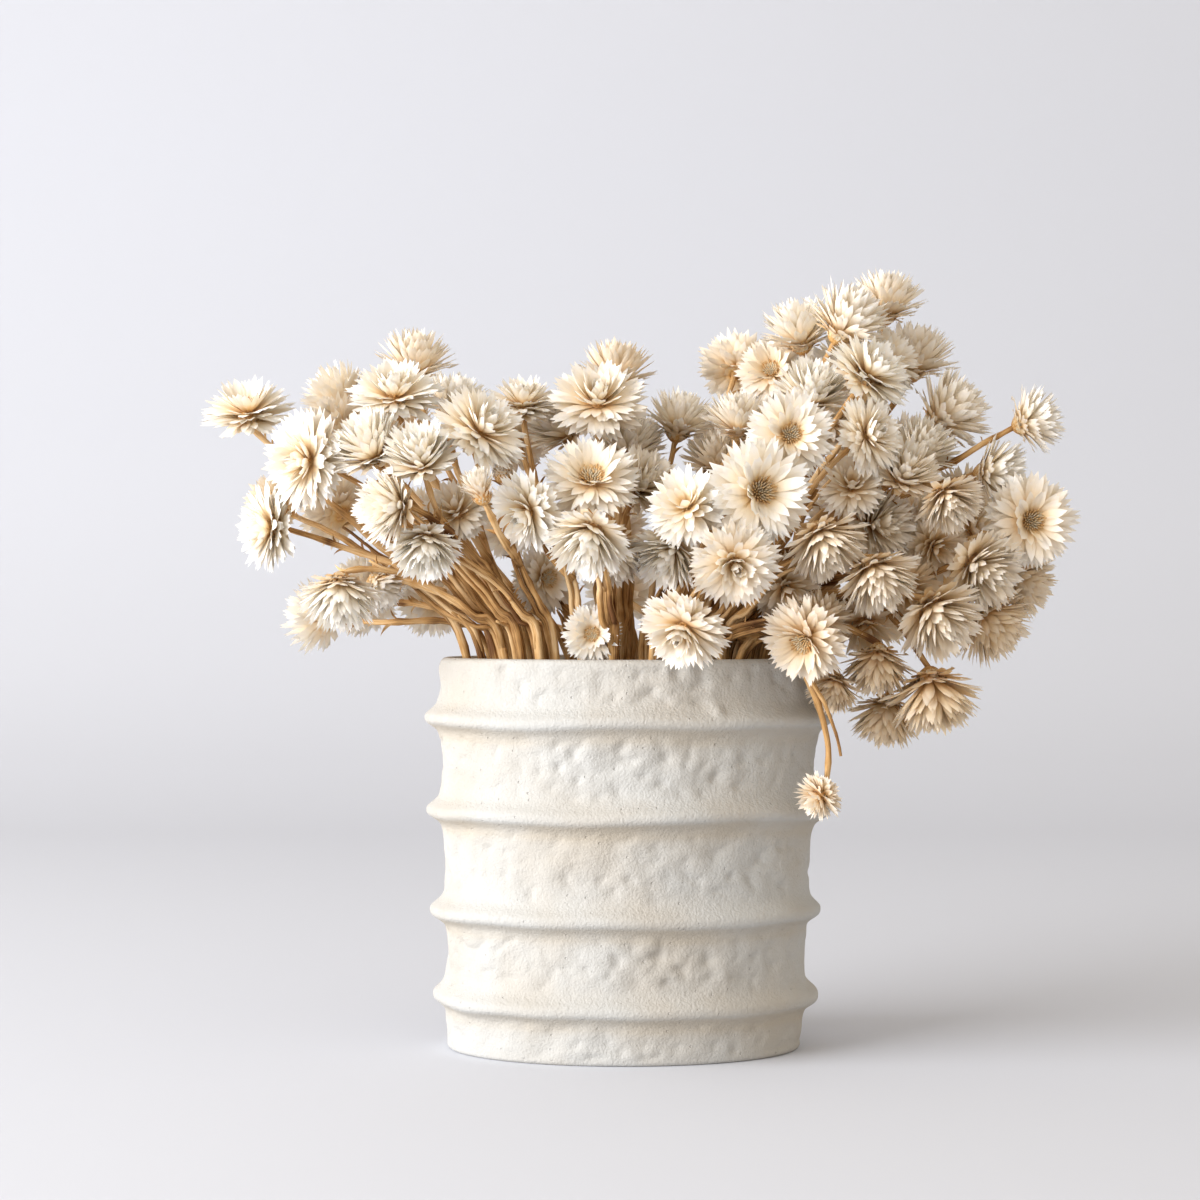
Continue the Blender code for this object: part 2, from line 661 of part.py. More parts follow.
def make_vase(materials):
    """Hollow oval vase with four rounded ribs, a thin lip and a flat underside."""
    bm = bmesh.new()
    rings = []
    for height, half, extra in vase_profile():
        lean = VASE_LEAN * height / VASE_HEIGHT
        ring = []
        for index in range(VASE_SIDES):
            angle = 2.0 * math.pi * index / VASE_SIDES
            x = lean + (half + extra) * math.cos(angle)
            y = (half * DEPTH_RATIO + extra) * math.sin(angle)
            ring.append(bm.verts.new((x, y, height)))
        rings.append(ring)
    for lower, upper in zip(rings, rings[1:]):
        band(bm, lower, upper)
    bm.faces.new(rings[0])
    bm.faces.new(rings[-1])
    return mesh_object("vase", bm, materials)


def add_head(bm, neck, frame, head, base, tips):
    """Core and petals of one head, grown from the last ring of its stem."""
    _, _, axis, width, kind = head
    core = core_size(width, kind)
    middle = base + axis * core
    rings = []
    for level, polar in enumerate(RING_POLARS):
        lean = math.radians(polar)
        ring = []
        for number in range(PETALS_ROUND):
            turn = 2.0 * math.pi * (number + 0.5 * (level % 2)) / PETALS_ROUND
            way = axis * math.cos(lean) + frame[0] * math.sin(lean) * math.cos(turn)
            way = way + frame[1] * math.sin(lean) * math.sin(turn)
            ring.append(bm.verts.new(middle + way * core))
        rings.append(ring)
    for index in range(PETALS_ROUND):
        corner = round(index * STEM_SIDES / PETALS_ROUND) % STEM_SIDES
        after = round((index + 1) * STEM_SIDES / PETALS_ROUND) % STEM_SIDES
        follow = (index + 1) % PETALS_ROUND
        bm.faces.new((neck[corner], rings[0][follow], rings[0][index]))
        if after != corner:
            bm.faces.new((neck[corner], neck[after], rings[0][follow]))
    petal = 0
    for level in range(len(RING_POLARS) - 1):
        lower, upper = rings[level], rings[level + 1]
        step = level % 2
        for number in range(PETALS_ROUND):
            after = (number + 1) % PETALS_ROUND
            first = (number + step) % PETALS_ROUND
            second = (after + step) % PETALS_ROUND
            corners = (lower[number], lower[after], upper[second], upper[first])
            tip = bm.verts.new(tips[petal])
            petal += 1
            for index in range(4):
                face = bm.faces.new((corners[index], corners[(index + 1) % 4], tip))
                face.material_index = 1
    face = bm.faces.new(rings[-1])
    face.material_index = 1


def grow(name, path, head, base, tips, root_radius, radius, materials):
    """Closed body of one stem or stalk with the head at its end."""
    bm = bmesh.new()
    frame = frame_of(head[2])
    ways = unit(np.diff(path, axis=0))
    count = len(path)
    rings = [None] * count
    side = frame[0]
    for index in range(count - 1, -1, -1):
        way = unit(ways[min(index, count - 2)] + ways[max(index - 1, 0)])
        if index == count - 1:
            way = head[2]
        if index == 0:
            way = ways[0] if root_radius < radius else np.array((0.0, 0.0, 1.0))
        side = unit(side - way * float(side @ way))
        other = np.cross(way, side)
        thick = root_radius if index == 0 else radius * (1.0 - STEM_TAPER * index / count)
        ring = []
        for corner in range(STEM_SIDES):
            turn = 2.0 * math.pi * corner / STEM_SIDES
            spot = path[index] + side * thick * math.cos(turn) + other * thick * math.sin(turn)
            ring.append(bm.verts.new(spot))
        rings[index] = ring
    for lower, upper in zip(rings, rings[1:]):
        band(bm, lower, upper)
    bm.faces.new(rings[0])
    add_head(bm, rings[-1], frame, head, base, tips)
    return mesh_object(name, bm, materials)


def fuse(name, pieces, materials):
    """One body from the overlapping pieces of a spray."""
    if len(pieces) == 1:
        pieces[0].name = name
        pieces[0].data.name = name
        return
    main = pieces[0]
    group = bpy.data.collections.new(name + "_stalks")
    bpy.context.scene.collection.children.link(group)
    for piece in pieces[1:]:
        bpy.context.scene.collection.objects.unlink(piece)
        group.objects.link(piece)
    union = main.modifiers.new("fuse_stalks", "BOOLEAN")
    union.operation = "UNION"
    union.operand_type = "COLLECTION"
    union.collection = group
    union.solver = "MANIFOLD"
    graph = bpy.context.evaluated_depsgraph_get()
    joined = bpy.data.meshes.new_from_object(main.evaluated_get(graph))
    main.modifiers.remove(union)
    main.data = joined
    main.name = name
    joined.name = name
    for piece in pieces[1:]:
        bpy.data.objects.remove(piece)
    bpy.data.collections.remove(group)


def make_sprays(materials):
    """Every spray of stems and heads."""
    heads = list_heads()
    middles = spread_heads(heads)
    bases = np.array([middle - head[2] * base_drop(head[3], head[4])
                      for head, middle in zip(heads, middles)])
    paths, seen = first_paths(heads, bases)
    joins = plan_joins(heads, bases, seen)
    paths = part_stems(paths, heads, middles, joins)
    owner, roots, tips = lay_petals(heads, middles, bases)
    cores = np.array([core_size(head[3], head[4]) for head in heads])
    hubs = bases + np.array([head[2] for head in heads]) * cores[:, None]
    tips = clear_petals(owner, roots, tips, paths, hubs, cores)
    for spray, order in sorted(seen.items()):
        pieces = []
        for index in order:
            start = joins[index][1] if joins[index] else 0
            root, radius = STEM_RADIUS, STEM_RADIUS
            if joins[index]:
                root, radius = ROOT_RADIUS, STALK_RADIUS
            own = tips[owner == index]
            name = f"spray_{spray:02d}_{len(pieces)}"
            pieces.append(grow(name, paths[index][start:], heads[index], bases[index],
                               own, root, radius, materials))
        fuse(f"spray_{spray:02d}", pieces, materials)


def main():
    """Build the vase and its flowers."""
    for thing in list(bpy.data.objects):
        bpy.data.objects.remove(thing)
    ceramic = make_material("matte_ceramic", (0.87, 0.85, 0.8), 0.85)
    wood = make_material("dried_stem", (0.58, 0.38, 0.19), 0.8)
    bract = make_material("papery_petals", (0.9, 0.83, 0.7), 0.6)
    make_vase((ceramic,))
    make_sprays((wood, bract))


main()
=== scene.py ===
"""Looks of an oval ribbed vase of dried cape flowers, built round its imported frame.

The vase and every spray of the frame are replaced by finer pieces that stand where
the frame has them. Sizes are in millimetres, and meshes are brought to metres last.
"""
import logging
import math
import random
from dataclasses import dataclass
from enum import Enum

import bmesh
import bpy
import numpy as np
from mathutils import Matrix, Vector, noise


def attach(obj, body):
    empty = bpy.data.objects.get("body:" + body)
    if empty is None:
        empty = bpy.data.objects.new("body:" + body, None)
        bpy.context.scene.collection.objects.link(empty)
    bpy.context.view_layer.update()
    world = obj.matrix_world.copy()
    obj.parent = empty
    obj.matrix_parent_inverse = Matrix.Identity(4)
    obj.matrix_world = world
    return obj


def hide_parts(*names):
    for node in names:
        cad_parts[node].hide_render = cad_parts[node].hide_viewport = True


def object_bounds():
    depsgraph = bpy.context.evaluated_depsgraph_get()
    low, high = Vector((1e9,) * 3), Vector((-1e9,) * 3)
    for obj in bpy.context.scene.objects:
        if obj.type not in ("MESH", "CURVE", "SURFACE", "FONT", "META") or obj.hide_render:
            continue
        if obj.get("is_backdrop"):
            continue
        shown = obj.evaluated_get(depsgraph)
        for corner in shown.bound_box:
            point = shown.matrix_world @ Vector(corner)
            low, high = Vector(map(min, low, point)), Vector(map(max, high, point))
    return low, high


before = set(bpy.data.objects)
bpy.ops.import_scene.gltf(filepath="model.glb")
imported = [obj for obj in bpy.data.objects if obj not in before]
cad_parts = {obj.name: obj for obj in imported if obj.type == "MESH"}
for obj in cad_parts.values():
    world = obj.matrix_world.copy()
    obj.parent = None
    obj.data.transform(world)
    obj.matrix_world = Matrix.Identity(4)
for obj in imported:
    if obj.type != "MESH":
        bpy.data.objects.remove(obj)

MM = 0.001

log = logging.getLogger("vase_of_cape_flowers")


class Kind(Enum):
    """How far a head is open."""

    OPEN = "open"
    BALL = "ball"
    CUP = "cup"
    BUD = "bud"
    SEED = "seed"


def linear(code: str) -> tuple[float, float, float, float]:
    """Linear colour of an sRGB hex code.

    Args:
        code: six hex digits after a hash sign.

    Returns:
        Red, green, blue and an alpha of one.
    """
    parts = (int(code[at : at + 2], 16) / 255.0 for at in (1, 3, 5))
    red, green, blue = (part / 12.92 if part <= 0.04045 else ((part + 0.055) / 1.055) ** 2.4
                        for part in parts)
    return (red, green, blue, 1.0)


def clamp(value: float) -> float:
    """Value held between zero and one."""
    return min(1.0, max(0.0, value))


def add_node(tree: bpy.types.NodeTree, kind: str, links: dict, **settings) -> bpy.types.Node:
    """Add a node with its settings, values and incoming links.

    Args:
        tree: node tree that takes the node.
        kind: the node's type name.
        links: input name or number to a value or to another node's output.
        settings: the node's own properties.

    Returns:
        The new node.
    """
    node = tree.nodes.new(kind)
    for name, value in settings.items():
        setattr(node, name, value)
    for name, value in links.items():
        if isinstance(value, bpy.types.NodeSocket):
            tree.links.new(value, node.inputs[name])
        else:
            node.inputs[name].default_value = value
    return node


def fill_ramp(node: bpy.types.Node, stops: tuple[tuple[float, str], ...]) -> None:
    """Give a colour ramp its stops.

    Args:
        node: the colour ramp node.
        stops: place from 0 to 1 and sRGB hex code of each stop.
    """
    ramp = node.color_ramp
    while len(ramp.elements) < len(stops):
        ramp.elements.new(1.0)
    for element, (place, code) in zip(ramp.elements, stops):
        element.position = place
        element.color = linear(code)


@dataclass(frozen=True)
class Finish:
    """Dry, matte surface, which every finish of the object starts from."""

    name: str = "dry_matt"
    roughness: float = 0.6
    specular: float = 0.3

    def start(self) -> tuple[bpy.types.Material, bpy.types.NodeTree, bpy.types.Node]:
        """New material with the finish's own sheen.

        Returns:
            The material, its node tree and its shader.
        """
        material = bpy.data.materials.new(self.name)
        material.use_nodes = True
        shader = material.node_tree.nodes["Principled BSDF"]
        shader.inputs["Roughness"].default_value = self.roughness
        shader.inputs["Specular IOR Level"].default_value = self.specular
        return material, material.node_tree, shader


@dataclass(frozen=True)
class BisqueStoneware(Finish):
    """Unglazed stoneware, coiled and pressed by hand.

    To the eye it is a chalky warm white with beige clouds, a fine sandy grain and a few pits,
    with painted shade laid as a warmer beige just under each rib. Real grog is finer than a
    millimetre, so the grain is drawn coarser, as far as it needs to show.
    """

    name: str = "bisque_stoneware"
    roughness: float = 0.86
    specular: float = 0.35
    body: str = "#bdbcb8"
    warm: str = "#b8b2a8"
    # Painted shade: the warm beige laid on the wall just under each rib.
    rib_shade: str = "#b8ad9b"
    cloud_mm: float = 55.0
    cloud_range: tuple[float, float] = (0.42, 0.7)
    speck_mm: float = 2.6
    grit_mm: float = 1.2
    pit_mm: float = 7.0
    pit_range: tuple[float, float] = (0.04, 0.1)
    relief_mm: float = 0.5
    relief_strength: float = 0.9

    def build(self) -> bpy.types.Material:
        """Mix the clouds and the painted shade under the ribs, raise the grain, sink the pits.

        Returns:
            The material of the vase.
        """
        material, tree, shader = self.start()
        place = add_node(tree, "ShaderNodeTexCoord", {}).outputs["Object"]
        cloud = add_node(tree, "ShaderNodeTexNoise",
                         {"Vector": place, "Scale": 1.0 / (self.cloud_mm * MM), "Detail": 5.0})
        speck = add_node(tree, "ShaderNodeTexNoise",
                         {"Vector": place, "Scale": 1.0 / (self.speck_mm * MM), "Detail": 3.0})
        grit = add_node(tree, "ShaderNodeTexNoise",
                        {"Vector": place, "Scale": 1.0 / (self.grit_mm * MM), "Detail": 2.0})
        pits = add_node(tree, "ShaderNodeTexVoronoi",
                        {"Vector": place, "Scale": 1.0 / (self.pit_mm * MM)})
        hole = add_node(tree, "ShaderNodeMapRange",
                        {"Value": pits.outputs["Distance"], "From Min": self.pit_range[0],
                         "From Max": self.pit_range[1]})
        clouds = add_node(tree, "ShaderNodeMapRange",
                          {"Value": cloud.outputs["Fac"], "From Min": self.cloud_range[0],
                           "From Max": self.cloud_range[1]})
        base = add_node(tree, "ShaderNodeMix",
                        {0: clouds.outputs["Result"], 6: linear(self.body), 7: linear(self.warm)},
                        data_type="RGBA")
        # Painted shade under the ribs, broken up by the clouds.
        rib_shade = add_node(tree, "ShaderNodeAttribute", {}, attribute_name="rib_shade")
        patchy = add_node(tree, "ShaderNodeMath",
                          {0: rib_shade.outputs["Fac"], 1: cloud.outputs["Fac"]}, operation="MULTIPLY")
        rib_shaded = add_node(tree, "ShaderNodeMix",
                          {0: patchy.outputs["Value"], 6: base.outputs[2], 7: linear(self.rib_shade)},
                          data_type="RGBA")
        tree.links.new(rib_shaded.outputs[2], shader.inputs["Base Color"])
        relief = add_node(tree, "ShaderNodeMath",
                          {0: grit.outputs["Fac"], 1: speck.outputs["Fac"]}, operation="ADD")
        deep = add_node(tree, "ShaderNodeMath",
                        {0: relief.outputs["Value"], 1: hole.outputs["Result"]}, operation="ADD")
        bump = add_node(tree, "ShaderNodeBump",
                        {"Height": deep.outputs["Value"], "Strength": self.relief_strength,
                         "Distance": self.relief_mm * MM})
        tree.links.new(bump.outputs["Normal"], shader.inputs["Normal"])
        return material


@dataclass(frozen=True)
class PaperyBract(Finish):
    """Dried bract of an everlasting flower.

    To the eye it is thin, silky parchment with lengthwise veins: tan at its root, cream
    at its tip, more golden in an old head, with a little light let through. The low part is
    drawn warmer than the root alone, as painted warm shade deep in the head, and the golden
    tint is also laid on heads low on the right and on the far side as painted shade. Real
    veins stand closer than they are drawn here, where they would not show.
    """

    name: str = "papery_bract"
    root: str = "#d3a264"
    # Painted shade in part: the low part is the root's tan, drawn warmer for the shade deep in the
    # head.
    low: str = "#f7daa8"
    middle: str = "#fff3dc"
    tip: str = "#fffdf7"
    # Golden tint of an old head; the tone also lays it on as painted shade.
    aged: str = "#efd09b"
    steps: tuple[float, float, float, float] = (0.0, 0.16, 0.4, 0.88)
    blade_mm: float = 4.0
    vein_mm: float = 0.55
    vein_run: float = 0.9
    relief_mm: float = 0.2
    relief_strength: float = 0.4
    glow: float = 0.25
    glow_mm: float = 1.6
    glow_reach: tuple[float, float, float] = (1.0, 0.74, 0.42)
    silk: float = 0.15
    silk_roughness: float = 0.4

    def build(self) -> bpy.types.Material:
        """Colour the blade root to tip, tint it for age and painted shade, raise its veins.

        Returns:
            The material of the petals.
        """
        material, tree, shader = self.start()
        shader.inputs["Subsurface Weight"].default_value = self.glow
        shader.inputs["Subsurface Radius"].default_value = self.glow_reach
        shader.inputs["Subsurface Scale"].default_value = self.glow_mm * MM
        shader.inputs["Sheen Weight"].default_value = self.silk
        shader.inputs["Sheen Roughness"].default_value = self.silk_roughness
        along = add_node(tree, "ShaderNodeUVMap", {}, uv_map="blade")
        parts = add_node(tree, "ShaderNodeSeparateXYZ", {0: along.outputs["UV"]})
        ramp = add_node(tree, "ShaderNodeValToRGB", {0: parts.outputs["Y"]})
        fill_ramp(ramp, tuple(zip(self.steps, (self.root, self.low, self.middle, self.tip))))
        # The tone holds a random age plus painted shade on the low right and far heads.
        tone = add_node(tree, "ShaderNodeAttribute", {}, attribute_name="tone")
        tint = add_node(tree, "ShaderNodeMix",
                        {0: tone.outputs["Fac"], 6: linear("#ffffff"), 7: linear(self.aged)},
                        data_type="RGBA")
        coloured = add_node(tree, "ShaderNodeMix",
                            {0: 1.0, 6: ramp.outputs["Color"], 7: tint.outputs[2]},
                            data_type="RGBA", blend_type="MULTIPLY")
        tree.links.new(coloured.outputs[2], shader.inputs["Base Color"])
        stretch = add_node(tree, "ShaderNodeMapping",
                           {"Vector": along.outputs["UV"],
                            "Scale": (self.blade_mm / self.vein_mm, self.vein_run, 1.0)})
        vein = add_node(tree, "ShaderNodeTexNoise",
                        {"Vector": stretch.outputs["Vector"], "Scale": 1.0, "Detail": 2.0})
        bump = add_node(tree, "ShaderNodeBump",
                        {"Height": vein.outputs["Fac"], "Strength": self.relief_strength,
                         "Distance": self.relief_mm * MM})
        tree.links.new(bump.outputs["Normal"], shader.inputs["Normal"])
        return material


@dataclass(frozen=True)
class GoldenScale(Finish):
    """Small dry scales of the cup and florets of the disc.

    To the eye it is mottled old straw: golden tan, faded in places, with brown tips.
    """

    name: str = "golden_scale"
    specular: float = 0.35
    faded: str = "#d8ccb4"
    pale: str = "#e6c898"
    gold: str = "#cf9f60"
    dark: str = "#8a5b2d"
    steps: tuple[float, float, float, float] = (0.22, 0.42, 0.6, 0.72)
    mottle_mm: float = 1.6
    tip_range: tuple[float, float] = (0.66, 0.98)
    tip_most: float = 0.75
    relief_mm: float = 0.3
    relief_strength: float = 0.4

    def build(self) -> bpy.types.Material:
        """Mottle the straw by its tone and darken the tips.

        Returns:
            The material of the scales and florets.
        """
        material, tree, shader = self.start()
        place = add_node(tree, "ShaderNodeTexCoord", {}).outputs["Object"]
        mottle = add_node(tree, "ShaderNodeTexNoise",
                          {"Vector": place, "Scale": 1.0 / (self.mottle_mm * MM), "Detail": 3.0})
        tone = add_node(tree, "ShaderNodeAttribute", {}, attribute_name="tone")
        both = add_node(tree, "ShaderNodeMath",
                        {0: mottle.outputs["Fac"], 1: tone.outputs["Fac"]}, operation="ADD")
        half = add_node(tree, "ShaderNodeMath", {0: both.outputs["Value"], 1: 0.5},
                        operation="MULTIPLY")
        ramp = add_node(tree, "ShaderNodeValToRGB", {0: half.outputs["Value"]})
        fill_ramp(ramp, tuple(zip(self.steps, (self.dark, self.gold, self.pale, self.faded))))
        along = add_node(tree, "ShaderNodeUVMap", {}, uv_map="blade")
        parts = add_node(tree, "ShaderNodeSeparateXYZ", {0: along.outputs["UV"]})
        end = add_node(tree, "ShaderNodeMapRange",
                       {"Value": parts.outputs["Y"], "From Min": self.tip_range[0],
                        "From Max": self.tip_range[1], "To Max": self.tip_most})
        tipped = add_node(tree, "ShaderNodeMix",
                          {0: end.outputs["Result"], 6: ramp.outputs["Color"],
                           7: linear(self.dark)}, data_type="RGBA")
        tree.links.new(tipped.outputs[2], shader.inputs["Base Color"])
        bump = add_node(tree, "ShaderNodeBump",
                        {"Height": mottle.outputs["Fac"], "Strength": self.relief_strength,
                         "Distance": self.relief_mm * MM})
        tree.links.new(bump.outputs["Normal"], shader.inputs["Normal"])
        return material


@dataclass(frozen=True)
class DriedTwig(Finish):
    """Dry woody stem with a felted skin.

    To the eye it is dull tan wood with paler streaks drawn out along it and browner
    stretches. The streaks are drawn as wide as they need to show.
    """

    name: str = "dried_twig"
    roughness: float = 0.78
    pale: str = "#e2c192"
    tan: str = "#c2965e"
    brown: str = "#6b4626"
    streak_mm: float = 0.9
    stretch: float = 0.07
    patch_mm: float = 22.0
    steps: tuple[float, float, float] = (0.4, 0.54, 0.68)
    streak_share: float = 0.8
    tone_share: float = 0.4
    relief_mm: float = 0.4
    relief_strength: float = 0.6

    def build(self) -> bpy.types.Material:
        """Add up the streaks, the patches and the stem's own tone.

        Returns:
            The material of the stems.
        """
        material, tree, shader = self.start()
        place = add_node(tree, "ShaderNodeTexCoord", {}).outputs["Object"]
        grain = add_node(tree, "ShaderNodeAttribute", {}, attribute_name="grain")
        draw = add_node(tree, "ShaderNodeMapping",
                        {"Vector": grain.outputs["Vector"], "Scale": (1.0, 1.0, self.stretch)})
        streak = add_node(tree, "ShaderNodeTexNoise",
                          {"Vector": draw.outputs["Vector"], "Scale": 1.0 / self.streak_mm,
                           "Detail": 3.0})
        patch = add_node(tree, "ShaderNodeTexNoise",
                         {"Vector": place, "Scale": 1.0 / (self.patch_mm * MM), "Detail": 3.0})
        tone = add_node(tree, "ShaderNodeAttribute", {}, attribute_name="tone")
        mixed = add_node(tree, "ShaderNodeMath",
                         {0: streak.outputs["Fac"], 1: self.streak_share,
                          2: patch.outputs["Fac"]},
                         operation="MULTIPLY_ADD")
        aged = add_node(tree, "ShaderNodeMath",
                        {0: tone.outputs["Fac"], 1: self.tone_share,
                         2: mixed.outputs["Value"]},
                        operation="MULTIPLY_ADD")
        half = add_node(tree, "ShaderNodeMath", {0: aged.outputs["Value"], 1: 0.5},
                        operation="MULTIPLY")
        ramp = add_node(tree, "ShaderNodeValToRGB", {0: half.outputs["Value"]})
        fill_ramp(ramp, tuple(zip(self.steps, (self.brown, self.tan, self.pale))))
        tree.links.new(ramp.outputs["Color"], shader.inputs["Base Color"])
        bump = add_node(tree, "ShaderNodeBump",
                        {"Height": streak.outputs["Fac"], "Strength": self.relief_strength,
                         "Distance": self.relief_mm * MM})
        tree.links.new(bump.outputs["Normal"], shader.inputs["Normal"])
        return material


def unit(vectors: np.ndarray) -> np.ndarray:
    """Vectors scaled to length one."""
    size = np.linalg.norm(vectors, axis=-1, keepdims=True)
    return vectors / np.maximum(size, 1e-9)


def frame_of(axis: np.ndarray) -> tuple[np.ndarray, np.ndarray]:
    """Two directions square to an axis and to each other."""
    side = unit(np.cross(axis, (0.0, 0.0, 1.0) if abs(axis[2]) < 0.9 else (0.0, 1.0, 0.0)))
    return side, np.cross(axis, side)


@dataclass(frozen=True)
class View:
    """Level front view that the places of the heads were read in."""

    x: float = -12.2
    z: float = 231.0
    distance: float = 1420.0
    focus: float = 2740.0
    middle: float = 600.0
    frame_side: float = 1200.0
    sensor: float = 36.0
    clip: float = 0.05

    def place(self, across: float, down: float, depth: float) -> np.ndarray:
        """Place in millimetres of a point read in the view.

        Args:
            across: how far right it was read.
            down: how far down it was read.
            depth: how far it lies behind the vase's middle.

        Returns:
            The place.
        """
        reach = (self.distance + depth) / self.focus
        return np.array((self.x + (across - self.middle) * reach, depth,
                         self.z - (down - self.middle) * reach))

    def make_camera(self) -> None:
        """Create the camera of this view and make it the scene's own."""
        data = bpy.data.cameras.new("front_camera")
        data.sensor_width = self.sensor
        data.lens = self.sensor * self.focus / self.frame_side
        data.clip_start = self.clip
        camera = bpy.data.objects.new("front_camera", data)
        camera.location = (self.x * MM, -self.distance * MM, self.z * MM)
        camera.rotation_euler = (math.pi / 2.0, 0.0, 0.0)
        bpy.context.scene.collection.objects.link(camera)
        bpy.context.scene.camera = camera


@dataclass
class Head:
    """One flower head: its spray, middle, facing, width and kind."""

    spray: int
    middle: np.ndarray
    axis: np.ndarray
    width: float
    kind: Kind
    # Random age plus painted shade by the head's place.
    tone: float = 0.0
    petal_scale: float = 1.1
    least_flare: float = 0.62
    core_share: float = 0.17
    shut_core_share: float = 0.36

    @property
    def full(self) -> float:
        """Length of a full petal from the middle of the core."""
        flare = math.sin(math.radians(min(90.0, POLARS[self.kind][0])))
        return self.petal_scale * self.width / 2.0 / max(self.least_flare, flare)

    @property
    def core(self) -> float:
        """Radius of the small core that the petals grow from."""
        shut = self.kind in (Kind.BUD, Kind.SEED)
        return (self.shut_core_share if shut else self.core_share) * self.width

    @property
    def base(self) -> np.ndarray:
        """Point where the stem ends."""
        return self.middle - self.axis * (BASE_DROPS[self.kind] * self.full)

    @property
    def hub(self) -> np.ndarray:
        """Middle of the core, which the petals point away from."""
        return self.base + self.axis * self.core

    @property
    def bare(self) -> bool:
        """Whether the head is open so wide that its disc lies bare."""
        return self.kind is Kind.OPEN and self.spray in WIDE_OPEN


# Polar angles of the outer, middle and inner petals of each kind of head
POLARS = {
    Kind.OPEN: (86.0, 58.0, 30.0),
    Kind.BALL: (108.0, 72.0, 38.0),
    Kind.CUP: (64.0, 42.0, 20.0),
    Kind.BUD: (38.0, 24.0, 10.0),
    Kind.SEED: (80.0, 50.0, 24.0),
}
# Share of the petal length from the end of the stem to a head's middle
BASE_DROPS = {Kind.OPEN: 0.34, Kind.BALL: 0.36, Kind.CUP: 0.55, Kind.BUD: 0.55, Kind.SEED: 0.4}

